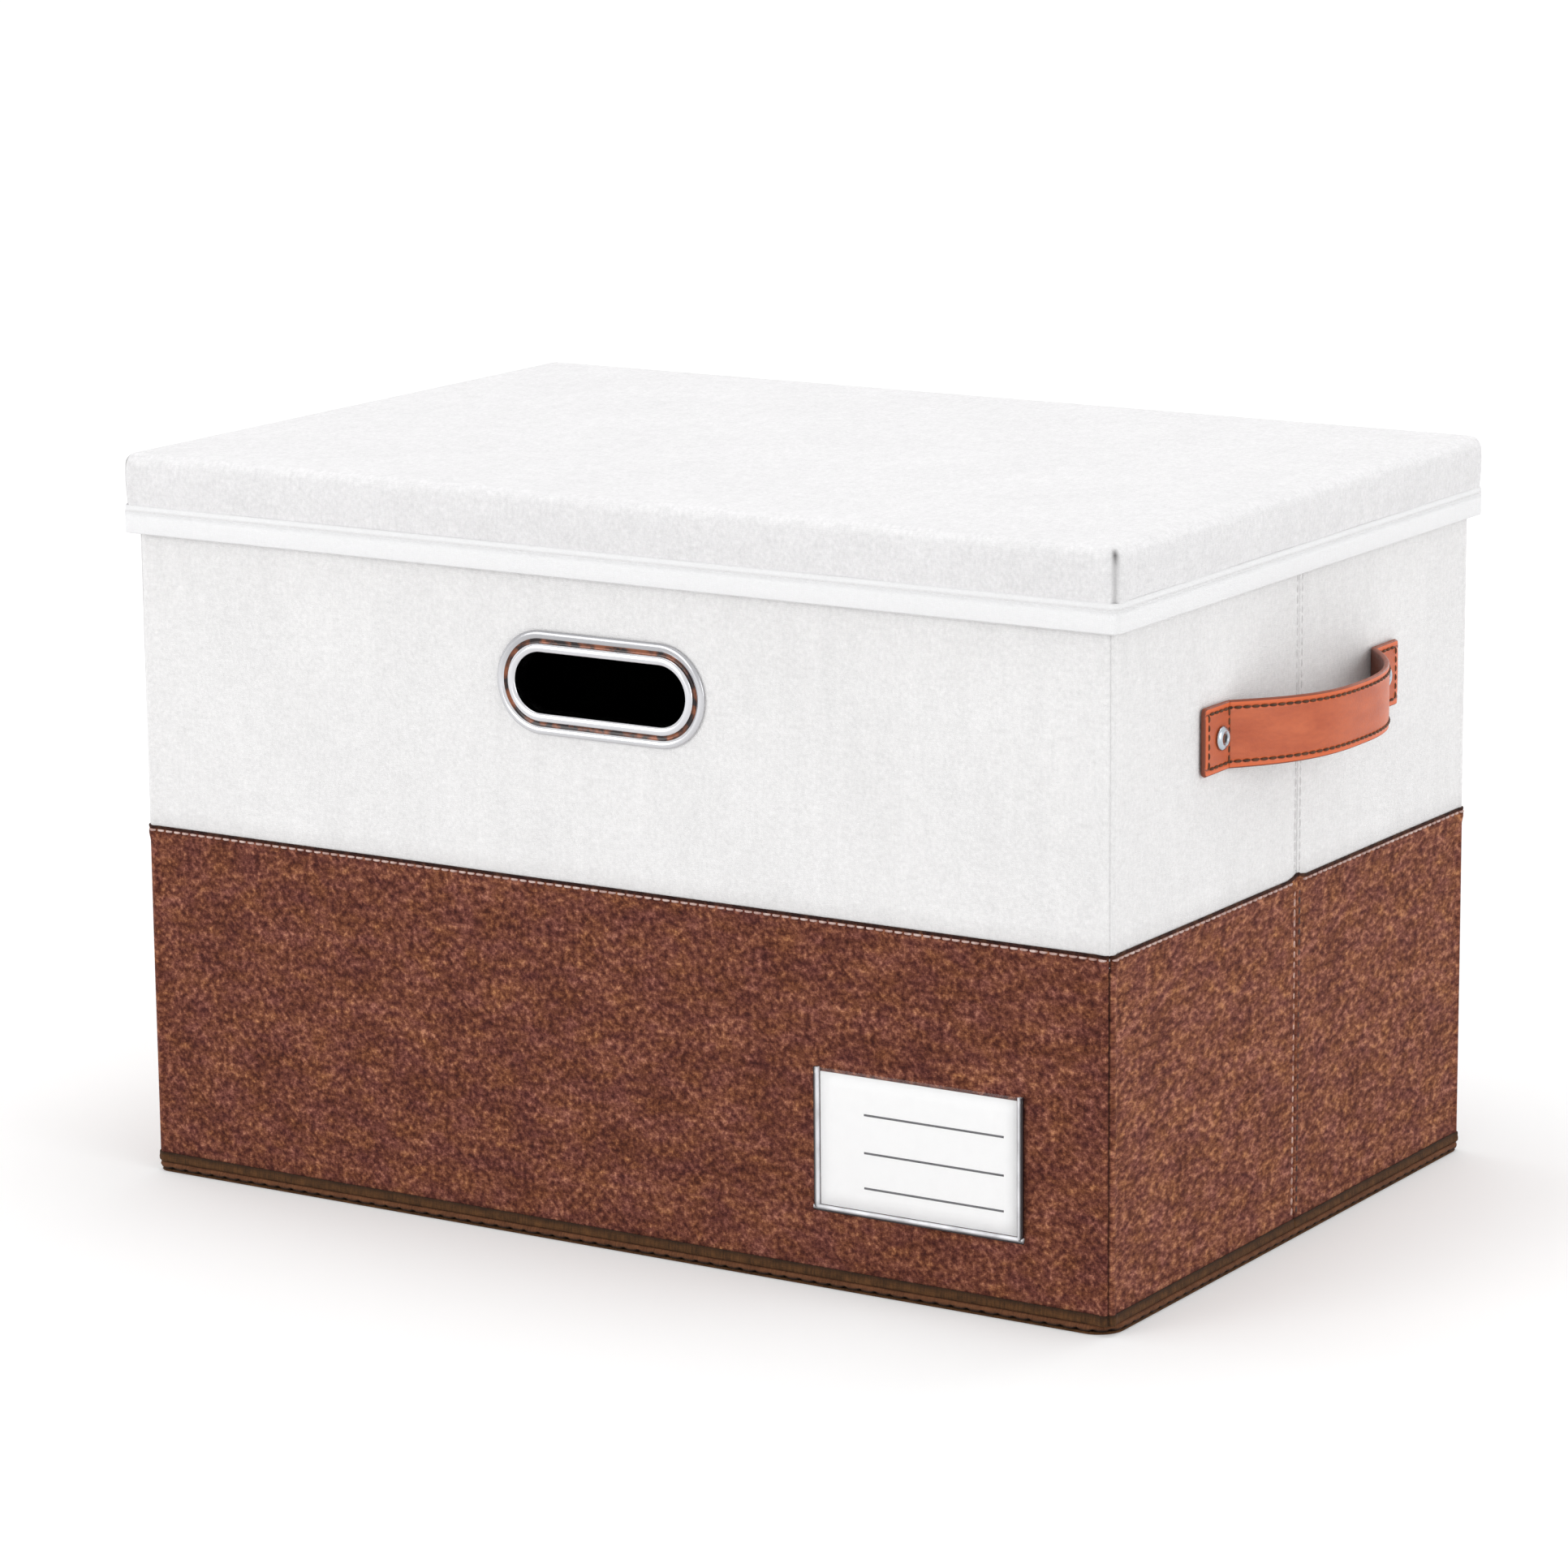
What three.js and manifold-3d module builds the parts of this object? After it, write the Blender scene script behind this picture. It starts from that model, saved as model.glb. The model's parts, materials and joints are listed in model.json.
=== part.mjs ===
// A foldable storage box with a lift-off lid, in millimetres with +Z up.
// The origin is on the floor under the middle of the box, and the long front wall faces -Y.
// Each wall panel is drawn lying along X with +Y as its outer side, and a group turns it into place.

import * as THREE from "three";
import { mergeVertices } from "three/addons/utils/BufferGeometryUtils.js";
import Module from "manifold-3d";

const wasm = await Module();
wasm.setup();

// Overall sizes
const boxLength = 450;
const boxDepth = 300;
const overallHeight = 301;

// Layers of a wall, from its outer side to its inner side
const coverThickness = 0.9;
const boardThickness = 2.5;
const liningThickness = 0.7;
const layerGap = 0.3;
const wallEdgeRadius = 2.5;

// Two-tone outer covers
const lowerCoverTop = 147;
const foldedHemHeight = 6;
const foldedHemProud = 0.5;
const bindingTop = 11;
const bindingProud = 0.4;

// Bottom cloth and the loose bottom board
const baseClothThickness = 1;
const baseCornerRadius = 9;
const bottomCoreThickness = 1.8;
const bottomClothThickness = 0.4;
const bottomRearClearance = 0.5;
const bottomFrontClearance = 1.5;
const bottomSideClearance = 2;
const bottomCornerRadius = 6;

// Side seams that let the short walls fold inwards
const seamGap = 0.4;
const seamEdgeRadius = 0.8;

// Lid
const lidDepth = 32.6;
const lidClothThickness = 0.6;
const lidTopBoardThickness = 2;
const lidSkirtBoardThickness = 1.2;
const lidLiningThickness = 0.4;
const lidLayerGap = 0.25;
const lidSideClearance = 1.25;
const lidTapeWidth = 11.6;
const lidTapeThickness = 0.6;
const lidTapeGap = 0.2;
const lidCornerRadius = 2.5;
const lidTopEdgeRadius = 3;
const lidSeamWidth = 0.8;
const lidSeamTopDrop = 1.6;

// Oval grip with its metal ring on the front wall
const gripDrop = 75.5;
const gripHoleRadius = 12;
const gripHalfStraight = 27.5;
const gripFlangeRadius = 22;
const gripFlangeRise = 2;
const gripLipWidth = 5.2;
const gripGrooveRise = 0.7;
const gripRimRise = 1.3;
const gripEdgeRise = 0.5;
const gripBarrelThickness = 0.8;
const gripInnerRingRadius = 19.5;
const gripInnerRingThickness = 1.1;

// Leather handles on the short walls
const handleDrop = 86;
const strapWidth = 27;
const strapThickness = 2.4;
const strapHalfSpan = 82;
const strapArchReach = 62;
const strapBow = 25;
const strapCrownPower = 2.6;
const strapFootPower = 1.1;
const strapEndRadius = 2;
const rivetOffset = 69;
const rivetHeadRadius = 4.8;
const rivetHeadHeight = 1.7;
const rivetShoulderShare = 0.35;
const rivetShankRadius = 1.8;
const washerRadius = 4.5;
const washerThickness = 0.9;

// Label pocket on the front wall
const pocketEndMargin = 36.4;
const pocketCentreHeight = 59.7;
const pocketWidth = 92.4;
const pocketHeight = 57;
const pocketRailWidth = 2.4;
const pocketDepth = 1.7;
const pocketFilmThickness = 0.5;
const cardThickness = 0.4;
const cardSideClearance = 0.5;
const cardTopRecess = 1.6;

// How finely curves are cut
const arcSteps = 3;
const edgeSteps = 4;
const domeSteps = 5;
const holeSteps = 16;
const ringArcSteps = 16;
const lipSteps = 4;
const strapSteps = 30;
const leastCornerShare = 0.33;
const cutOverrun = 5;

// Sizes worked out from the ones above
const halfLength = boxLength / 2;
const halfDepth = boxDepth / 2;
const boardFace = coverThickness + layerGap;
const boardBack = boardFace + boardThickness;
const liningFace = boardBack + layerGap;
const wallThickness = liningFace + liningThickness;
const bottomStack = bottomCoreThickness + layerGap + bottomClothThickness;
const bottomBoardBase = baseClothThickness + layerGap;
const bottomBoardTop = bottomBoardBase + bottomStack;
const wallBase = bottomBoardTop + layerGap;
const lidRoofStack = lidClothThickness + lidTopBoardThickness + lidLiningThickness + 2 * lidLayerGap;
const lidInnerTop = overallHeight - lidRoofStack;
const wallRim = lidInnerTop - layerGap;
const cornerGap = bottomRearClearance + bottomStack + layerGap;
const halfPanelEnd = halfDepth - wallThickness - cornerGap;
const halfPanelLip = halfDepth - wallThickness - layerGap;
const gripHeight = overallHeight - gripDrop;
const gripBarrelRadius = gripHoleRadius + gripBarrelThickness;
const gripCutRadius = gripBarrelRadius + layerGap;
const handleHeight = overallHeight - handleDrop;
const pocketCentreX = halfLength - pocketEndMargin - pocketWidth / 2;
const lidTapeBottom = overallHeight - lidDepth;

const palette = {
  whiteFabric: { color: 0xece9e9, roughness: 0.9, metalness: 0 },
  brownFabric: { color: 0x6b3a2c, roughness: 0.95, metalness: 0 },
  binding: { color: 0x47301f, roughness: 0.9, metalness: 0 },
  whiteTape: { color: 0xf4f3f2, roughness: 0.8, metalness: 0 },
  lining: { color: 0x2b2b2d, roughness: 0.95, metalness: 0 },
  board: { color: 0xa98f6c, roughness: 0.95, metalness: 0 },
  chrome: { color: 0xd9d9d9, roughness: 0.15, metalness: 1 },
  leather: { color: 0xb5542a, roughness: 0.6, metalness: 0 },
  rivetMetal: { color: 0xc9ccd0, roughness: 0.25, metalness: 1 },
  clearFilm: { color: 0xe8eef2, roughness: 0.1, metalness: 0 },
  card: { color: 0xfafafa, roughness: 0.7, metalness: 0 },
};

function named(name, geometry, finish) {
  const mesh = new THREE.Mesh(geometry, new THREE.MeshStandardMaterial(palette[finish]));
  mesh.name = name;
  return mesh;
}

function placed(parts, x, y, turn) {
  const group = new THREE.Group();
  group.add(...parts);
  group.position.set(x, y, 0);
  group.rotation.z = turn;
  return group;
}

// Closed solids, and their joins and cuts

function merged(geometry) {
  const bare = geometry.clone();
  bare.deleteAttribute("normal");
  bare.deleteAttribute("uv");
  return mergeVertices(bare);
}

function toSolid(geometry) {
  const closed = merged(geometry);
  const vertProperties = new Float32Array(closed.attributes.position.array);
  const triVerts = new Uint32Array(closed.index.array);
  return new wasm.Manifold(new wasm.Mesh({ numProp: 3, vertProperties, triVerts }));
}

function toGeometry(solid) {
  const mesh = solid.getMesh();
  const geometry = new THREE.BufferGeometry();
  geometry.setAttribute("position", new THREE.BufferAttribute(mesh.vertProperties.slice(), 3));
  geometry.setIndex(new THREE.BufferAttribute(mesh.triVerts.slice(), 1));
  geometry.computeVertexNormals();
  return geometry;
}

function joined(...pieces) {
  return toGeometry(pieces.map(toSolid).reduce((whole, piece) => whole.add(piece)));
}

function cut(body, ...tools) {
  return toGeometry(tools.map(toSolid).reduce((rest, tool) => rest.subtract(tool), toSolid(body)));
}

// The same solid seen in a mirror across the plane X = 0.
function mirrored(geometry) {
  const copy = merged(geometry);
  copy.scale(-1, 1, 1);
  const corners = copy.index.array;
  for (let i = 0; i < corners.length; i += 3) {
    [corners[i], corners[i + 1]] = [corners[i + 1], corners[i]];
  }
  copy.computeVertexNormals();
  return copy;
}

// Basic shapes

function prism(outline, bottom, top, curveSegments = arcSteps) {
  const options = { depth: top - bottom, bevelEnabled: false, curveSegments };
  return new THREE.ExtrudeGeometry(outline, options).translate(0, 0, bottom);
}

// A solid of an outline drawn in X and Z that runs through a wall from y = low to y = high.
function throughWall(outline, low, high, curveSegments = arcSteps) {
  return prism(outline, -high, -low, curveSegments).rotateX(Math.PI / 2);
}

function rectangle(left, right, low, high) {
  const shape = new THREE.Shape();
  shape.moveTo(left, low);
  shape.lineTo(right, low);
  shape.lineTo(right, high);
  shape.lineTo(left, high);
  return shape;
}

function roundedRectangle(halfX, halfY, radius, target = new THREE.Shape()) {
  const x = halfX - radius;
  const y = halfY - radius;
  target.moveTo(halfX, -y);
  target.absarc(x, y, radius, 0, Math.PI / 2, false);
  target.absarc(-x, y, radius, Math.PI / 2, Math.PI, false);
  target.absarc(-x, -y, radius, Math.PI, Math.PI * 1.5, false);
  target.absarc(x, -y, radius, Math.PI * 1.5, Math.PI * 2, false);
  return target;
}

function frameOutline(halfX, halfY, radius, width) {
  const shape = roundedRectangle(halfX, halfY, radius);
  const innerRadius = Math.max(radius - width, radius * leastCornerShare);
  shape.holes.push(roundedRectangle(halfX - width, halfY - width, innerRadius, new THREE.Path()));
  return shape;
}

function stadium(halfStraight, radius, centreHeight) {
  const shape = new THREE.Shape();
  shape.moveTo(halfStraight, centreHeight - radius);
  shape.absarc(halfStraight, centreHeight, radius, -Math.PI / 2, Math.PI / 2, false);
  shape.absarc(-halfStraight, centreHeight, radius, Math.PI / 2, Math.PI * 1.5, false);
  return shape;
}

// A pillow-edged block: a rounded rectangle whose top edge turns in along a quarter circle.
function softTopBlock(halfX, halfY, bottom, top, cornerRadius, edgeRadius) {
  const rings = [{ inset: 0, z: bottom }];
  for (let i = 0; i <= edgeSteps; i += 1) {
    const angle = (i / edgeSteps) * (Math.PI / 2);
    rings.push({
      inset: edgeRadius * (1 - Math.cos(angle)),
      z: top - edgeRadius * (1 - Math.sin(angle)),
    });
  }
  const loops = rings.map(({ inset, z }) => {
    const radius = Math.max(cornerRadius - inset, cornerRadius * leastCornerShare);
    const outline = roundedRectangle(halfX - inset, halfY - inset, radius);
    const points = outline.getPoints(arcSteps).slice(1);
    return points.map((point) => new THREE.Vector3(point.x, point.y, z));
  });
  return loft(loops);
}

// Skins a stack of level loops that have the same number of points, and closes both ends.
function loft(loops) {
  const count = loops[0].length;
  const corners = loops.flat();
  const faces = [];
  for (let ring = 0; ring + 1 < loops.length; ring += 1) {
    for (let i = 0; i < count; i += 1) {
      const next = (i + 1) % count;
      const a = ring * count + i;
      const b = ring * count + next;
      faces.push(a, b, b + count, a, b + count, a + count);
    }
  }
  const last = (loops.length - 1) * count;
  const flat = loops[0].map(({ x, y }) => new THREE.Vector2(x, y));
  for (const [a, b, c] of THREE.ShapeUtils.triangulateShape(flat, [])) {
    faces.push(a, c, b);
    faces.push(last + a, last + b, last + c);
  }
  return new THREE.BufferGeometry().setFromPoints(corners).setIndex(faces);
}

// A closed ring with a stadium-shaped path. The section is a closed loop of
// [distance from the path, position through the wall] pairs, anticlockwise.
function stadiumRing(section, halfStraight, centreHeight) {
  const path = [];
  for (const side of [1, -1]) {
    for (let i = 0; i <= ringArcSteps; i += 1) {
      const angle = -side * (Math.PI / 2) + (i / ringArcSteps) * Math.PI;
      path.push({ x: side * halfStraight, angle });
    }
  }
  const corners = [];
  for (const { x, angle } of path) {
    for (const [reach, through] of section) {
      corners.push(
        new THREE.Vector3(x + reach * Math.cos(angle), through, centreHeight + reach * Math.sin(angle)),
      );
    }
  }
  const around = section.length;
  const faces = [];
  for (let i = 0; i < path.length; i += 1) {
    const here = i * around;
    const ahead = ((i + 1) % path.length) * around;
    for (let k = 0; k < around; k += 1) {
      const next = (k + 1) % around;
      faces.push(here + k, here + next, ahead + next, here + k, ahead + next, ahead + k);
    }
  }
  return new THREE.BufferGeometry().setFromPoints(corners).setIndex(faces);
}

// A turned piece whose axis runs through the wall, from [radius, position] pairs.
function turned(profile, x, z) {
  const points = profile.map(([radius, through]) => new THREE.Vector2(radius, through));
  return new THREE.LatheGeometry(points, holeSteps).translate(x, 0, z);
}

// Outlines of a long wall, seen from above

function wrapOutline(proud, sheet) {
  const bend = halfLength - wallEdgeRadius;
  const outerRadius = wallEdgeRadius + proud;
  const innerRadius = wallEdgeRadius - sheet;
  const shape = new THREE.Shape();
  shape.moveTo(-halfLength - proud, -wallThickness);
  shape.absarc(-bend, -wallEdgeRadius, outerRadius, Math.PI, Math.PI / 2, true);
  shape.absarc(bend, -wallEdgeRadius, outerRadius, Math.PI / 2, 0, true);
  shape.lineTo(halfLength + proud, -wallThickness);
  shape.lineTo(halfLength - sheet, -wallThickness);
  shape.absarc(bend, -wallEdgeRadius, innerRadius, 0, Math.PI / 2, false);
  shape.absarc(-bend, -wallEdgeRadius, innerRadius, Math.PI / 2, Math.PI, false);
  shape.lineTo(-halfLength + sheet, -wallThickness);
  return shape;
}

function wallOutline(inset, back) {
  const bend = halfLength - wallEdgeRadius;
  const radius = wallEdgeRadius - inset;
  const shape = new THREE.Shape();
  shape.moveTo(inset - halfLength, -back);
  shape.absarc(-bend, -wallEdgeRadius, radius, Math.PI, Math.PI / 2, true);
  shape.absarc(bend, -wallEdgeRadius, radius, Math.PI / 2, 0, true);
  shape.lineTo(halfLength - inset, -back);
  return shape;
}

// Outlines of half a short wall, from the middle seam at x = 0 to its corner lip

function foldOutline(proud) {
  const seam = seamGap / 2;
  const turn = seam + seamEdgeRadius;
  const shape = new THREE.Shape();
  shape.moveTo(seam, -wallThickness);
  shape.absarc(turn, proud - seamEdgeRadius, seamEdgeRadius, Math.PI, Math.PI / 2, true);
  shape.lineTo(halfPanelLip, proud);
  shape.lineTo(halfPanelLip, -coverThickness);
  shape.lineTo(seam + coverThickness, -coverThickness);
  shape.lineTo(seam + coverThickness, -wallThickness);
  return shape;
}

function foldRimOutline() {
  const seam = seamGap / 2;
  const turn = seam + seamEdgeRadius;
  const shape = new THREE.Shape();
  shape.moveTo(seam, -wallThickness);
  shape.absarc(turn, -seamEdgeRadius, seamEdgeRadius, Math.PI, Math.PI / 2, true);
  shape.lineTo(halfPanelLip, 0);
  shape.lineTo(halfPanelLip, -wallThickness);
  return shape;
}

// Covers of one wall, shared by the long and the half panels

function upperCover(outline, rimOutline) {
  const sheet = prism(outline, lowerCoverTop + layerGap, wallRim);
  const hem = prism(rimOutline, wallRim - coverThickness, wallRim);
  return joined(sheet, hem);
}

function lowerCover(outline, hemOutline) {
  const sheet = prism(outline, bindingTop + layerGap, lowerCoverTop);
  const hem = prism(hemOutline, lowerCoverTop - foldedHemHeight, lowerCoverTop);
  return joined(sheet, hem);
}

const boardTop = wallRim - coverThickness - layerGap;

function layerSlab(left, right, face, back, bottom) {
  return prism(rectangle(left, right, -back, -face), bottom, boardTop);
}

function longWallLayers() {
  const end = halfLength - coverThickness - layerGap;
  return {
    stiffener_board: [prism(wallOutline(boardFace, boardBack), wallBase, boardTop), "board"],
    upper_cover: [upperCover(wrapOutline(0, coverThickness), wallOutline(0, wallThickness)), "whiteFabric"],
    lower_cover: [
      lowerCover(wrapOutline(0, coverThickness), wrapOutline(foldedHemProud, coverThickness)),
      "brownFabric",
    ],
    lining: [layerSlab(-end, end, liningFace, wallThickness, wallBase), "lining"],
    bottom_binding: [prism(wrapOutline(bindingProud, coverThickness), wallBase, bindingTop), "binding"],
  };
}

function halfWallLayers() {
  const start = seamGap / 2 + coverThickness + layerGap;
  return {
    stiffener_board: [layerSlab(start, halfPanelEnd, boardFace, boardBack, wallBase), "board"],
    upper_cover: [upperCover(foldOutline(0), foldRimOutline()), "whiteFabric"],
    lower_cover: [lowerCover(foldOutline(0), foldOutline(foldedHemProud)), "brownFabric"],
    lining: [layerSlab(start, halfPanelLip, liningFace, wallThickness, wallBase), "lining"],
    bottom_binding: [prism(foldOutline(bindingProud), wallBase, bindingTop), "binding"],
  };
}

// Back wall

function backWall() {
  const layers = longWallLayers();
  const parts = Object.entries(layers).map(([layer, [geometry, finish]]) =>
    named(`back_${layer}`, geometry, finish),
  );
  return placed(parts, 0, halfDepth, 0);
}

// Front wall, with the grip and the label pocket

function gripCut() {
  const outline = stadium(gripHalfStraight, gripCutRadius, gripHeight);
  return throughWall(outline, -wallThickness - cutOverrun, cutOverrun, ringArcSteps / 2);
}

// A round lip at the hole and a low outer rim, with a groove between them.
function gripOuterRing() {
  const barrelEnd = -wallThickness - layerGap - gripInnerRingThickness;
  const seat = layerGap;
  const groove = gripHoleRadius + gripLipWidth;
  const section = [
    [gripHoleRadius, barrelEnd],
    [gripBarrelRadius, barrelEnd],
    [gripBarrelRadius, seat],
    [gripFlangeRadius, seat],
    [gripFlangeRadius, seat + gripEdgeRise],
    [(groove + gripFlangeRadius) / 2, seat + gripRimRise],
  ];
  for (let i = 0; i <= lipSteps; i += 1) {
    const angle = (i / lipSteps) * Math.PI;
    section.push([
      gripHoleRadius + (gripLipWidth / 2) * (1 + Math.cos(angle)),
      seat + gripGrooveRise + (gripFlangeRise - gripGrooveRise) * Math.sin(angle),
    ]);
  }
  return stadiumRing(section, gripHalfStraight, gripHeight);
}

function gripInnerRing() {
  const near = -wallThickness - layerGap;
  const far = near - gripInnerRingThickness;
  const middle = (near + far) / 2;
  const section = [
    [gripCutRadius, far],
    [gripInnerRingRadius - gripInnerRingThickness, far],
    [gripInnerRingRadius, middle],
    [gripInnerRingRadius, near],
    [gripCutRadius, near],
  ];
  return stadiumRing(section, gripHalfStraight, gripHeight);
}

// The front wall's own X runs the other way, so the pocket sits at minus its place on the box.
function labelPocket() {
  const left = -pocketCentreX - pocketWidth / 2;
  const right = left + pocketWidth;
  const low = pocketCentreHeight - pocketHeight / 2;
  const high = low + pocketHeight;
  const seat = layerGap;
  const front = seat + pocketDepth;
  const rail = pocketRailWidth;
  const outer = throughWall(rectangle(left, right, low, high), seat, front);
  const roomOutline = rectangle(left + rail, right - rail, low + rail, high + cutOverrun);
  return cut(outer, throughWall(roomOutline, seat - cutOverrun, front - pocketFilmThickness));
}

function labelCard() {
  const inset = pocketRailWidth + cardSideClearance;
  const left = -pocketCentreX - pocketWidth / 2 + inset;
  const right = -pocketCentreX + pocketWidth / 2 - inset;
  const low = pocketCentreHeight - pocketHeight / 2 + pocketRailWidth + layerGap;
  const high = pocketCentreHeight + pocketHeight / 2 - cardTopRecess;
  const room = pocketDepth - pocketFilmThickness;
  const back = layerGap + (room - cardThickness) / 2;
  return throughWall(rectangle(left, right, low, high), back, back + cardThickness);
}

function frontWall() {
  const layers = longWallLayers();
  const bored = ["stiffener_board", "upper_cover", "lining"];
  const parts = Object.entries(layers).map(([layer, [geometry, finish]]) =>
    named(`front_${layer}`, bored.includes(layer) ? cut(geometry, gripCut()) : geometry, finish),
  );
  parts.push(
    named("grip_outer_ring", gripOuterRing(), "chrome"),
    named("grip_inner_ring", gripInnerRing(), "chrome"),
    named("label_pocket", labelPocket(), "clearFilm"),
    named("label_card", labelCard(), "card"),
  );
  return placed(parts, 0, -halfDepth, Math.PI);
}

// Short walls, each of two halves, with a leather handle across the seam

function rivetHole(x) {
  const radius = rivetShankRadius + layerGap;
  const reach = wallThickness + strapThickness + cutOverrun;
  return new THREE.CylinderGeometry(radius, radius, 2 * reach, holeSteps).translate(x, 0, handleHeight);
}

function rivet() {
  const headBase = layerGap + strapThickness + layerGap;
  const tip = -wallThickness - layerGap - washerThickness;
  const shoulder = rivetHeadHeight * rivetShoulderShare;
  const profile = [
    [0, tip],
    [rivetShankRadius, tip],
    [rivetShankRadius, headBase],
    [rivetHeadRadius, headBase],
    [rivetHeadRadius, headBase + shoulder],
  ];
  for (let i = 1; i < domeSteps; i += 1) {
    const angle = (i / domeSteps) * (Math.PI / 2);
    profile.push([
      rivetHeadRadius * Math.cos(angle),
      headBase + shoulder + (rivetHeadHeight - shoulder) * Math.sin(angle),
    ]);
  }
  profile.push([0, headBase + rivetHeadHeight]);
  return turned(profile, rivetOffset, handleHeight);
}

function washer() {
  const near = -wallThickness - layerGap;
  const far = near - washerThickness;
  const bore = rivetShankRadius + layerGap;
  const profile = [
    [bore, far],
    [washerRadius - washerThickness / 2, far],
    [washerRadius, (near + far) / 2],
    [washerRadius, near],
    [bore, near],
    [bore, far],
  ];
  return turned(profile, rivetOffset, handleHeight);
}

// How far the strap stands off its tabs at x.
function strapRise(x) {
  const share = Math.abs(x) / strapArchReach;
  return share >= 1 ? 0 : strapBow * (1 - share ** strapCrownPower) ** strapFootPower;
}

function handleStrap() {
  const middle = layerGap + strapThickness / 2;
  const stations = [-strapHalfSpan];
  for (let i = 0; i <= strapSteps; i += 1) {
    stations.push(-strapArchReach * Math.cos((i / strapSteps) * Math.PI));
  }
  stations.push(strapHalfSpan);
  const line = stations.map((x) => new THREE.Vector2(x, middle + strapRise(x)));
  const edge = (side) =>
    line.map((point, i) => {
      const before = line[Math.max(i - 1, 0)];
      const after = line[Math.min(i + 1, line.length - 1)];
      const along = after.clone().sub(before).normalize();
      const off = (side * strapThickness) / 2;
      return new THREE.Vector2(point.x - along.y * off, point.y + along.x * off);
    });
  const outline = new THREE.Shape([...edge(1), ...edge(-1).reverse()]);
  const low = handleHeight - strapWidth / 2;
  const band = prism(outline, low, low + strapWidth);
  const roundedEnds = roundedRectangle(strapHalfSpan, strapWidth / 2, strapEndRadius);
  const face = throughWall(roundedEnds, -cutOverrun, strapBow + cutOverrun).translate(0, 0, handleHeight);
  const trimmed = toGeometry(toSolid(band).intersect(toSolid(face)));
  return cut(trimmed, rivetHole(rivetOffset), rivetHole(-rivetOffset));
}

function halfWall(prefix, flip) {
  const turn = (geometry) => (flip ? mirrored(geometry) : geometry);
  const bored = ["stiffener_board", "upper_cover", "lining"];
  const parts = Object.entries(halfWallLayers()).map(([layer, [geometry, finish]]) => {
    const shape = bored.includes(layer) ? cut(geometry, rivetHole(rivetOffset)) : geometry;
    return named(`${prefix}_${layer}`, turn(shape), finish);
  });
  parts.push(
    named(`${prefix}_rivet`, turn(rivet()), "rivetMetal"),
    named(`${prefix}_rivet_washer`, turn(washer()), "rivetMetal"),
  );
  return parts;
}

function sideWall(side, place, turn, rearIsFlipped) {
  const parts = [
    ...halfWall(`${side}_rear`, rearIsFlipped),
    ...halfWall(`${side}_front`, !rearIsFlipped),
    named(`${side}_handle_strap`, handleStrap(), "leather"),
  ];
  return placed(parts, place, 0, turn);
}

// Bottom

const baseHalfX = halfLength + bindingProud;
const baseHalfY = halfDepth + bindingProud;

function baseCloth() {
  return prism(roundedRectangle(baseHalfX, baseHalfY, baseCornerRadius), 0, baseClothThickness);
}

// The bias strip that is sewn round the edge of the base, under the walls.
function baseEdgeBinding() {
  const outline = frameOutline(baseHalfX, baseHalfY, baseCornerRadius, bindingProud + coverThickness);
  return prism(outline, baseClothThickness + layerGap, bottomBoardTop);
}

function bottomBoardOutline(inset, radius) {
  const halfX = halfLength - wallThickness - bottomSideClearance - inset;
  const halfY = halfDepth - wallThickness - (bottomRearClearance + bottomFrontClearance) / 2 - inset;
  return roundedRectangle(halfX, halfY, radius);
}

function bottomBoard() {
  const shiftY = (bottomFrontClearance - bottomRearClearance) / 2;
  const edge = bottomClothThickness + layerGap;
  const coreTop = bottomBoardBase + bottomCoreThickness;
  const core = prism(bottomBoardOutline(edge, bottomCornerRadius - edge), bottomBoardBase, coreTop);
  const hollowOutline = bottomBoardOutline(bottomClothThickness, bottomCornerRadius - bottomClothThickness);
  const block = prism(bottomBoardOutline(0, bottomCornerRadius), bottomBoardBase, bottomBoardTop);
  const hollow = prism(hollowOutline, bottomBoardBase - cutOverrun, bottomBoardTop - bottomClothThickness);
  const parts = [
    named("bottom_board_core", core, "board"),
    named("bottom_board_cloth", cut(block, hollow), "lining"),
  ];
  return placed(parts, 0, shiftY, 0);
}

// Lid

const lidLiningInner = lidSideClearance;
const lidBoardInner = lidLiningInner + lidLiningThickness + lidLayerGap;
const lidCoverInner = lidBoardInner + lidSkirtBoardThickness + lidLayerGap;
const lidCoverOuter = lidCoverInner + lidClothThickness;
const lidTapeOuter = lidCoverOuter + lidTapeGap + lidTapeThickness;
const lidSkirtBottom = lidTapeBottom + lidTapeThickness + layerGap;
const lidBoardTop = overallHeight - lidClothThickness - lidLayerGap;
const lidBoardBottom = lidBoardTop - lidTopBoardThickness;

function lidCover() {
  const outer = softTopBlock(
    halfLength + lidCoverOuter,
    halfDepth + lidCoverOuter,
    lidSkirtBottom,
    overallHeight,
    lidCornerRadius,
    lidTopEdgeRadius,
  );
  const inner = softTopBlock(
    halfLength + lidCoverInner,
    halfDepth + lidCoverInner,
    lidSkirtBottom - cutOverrun,
    overallHeight - lidClothThickness,
    lidCornerRadius - lidClothThickness,
    lidTopEdgeRadius - lidClothThickness,
  );
  return cut(outer, inner, ...lidCornerSeams());
}

// Narrow upright gaps where the skirt's four sides meet at the lid's corners.
function lidCornerSeams() {
  const gaps = [];
  for (const sideX of [1, -1]) {
    for (const sideY of [1, -1]) {
      const outline = rectangle(-cutOverrun, cutOverrun, -lidSeamWidth / 2, lidSeamWidth / 2);
      const gap = prism(outline, lidSkirtBottom - cutOverrun, overallHeight - lidSeamTopDrop);
      const cornerX = sideX * (halfLength + lidCoverOuter);
      const cornerY = sideY * (halfDepth + lidCoverOuter);
      gaps.push(gap.rotateZ((sideX * sideY * Math.PI) / 4).translate(cornerX, cornerY, 0));
    }
  }
  return gaps;
}

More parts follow.
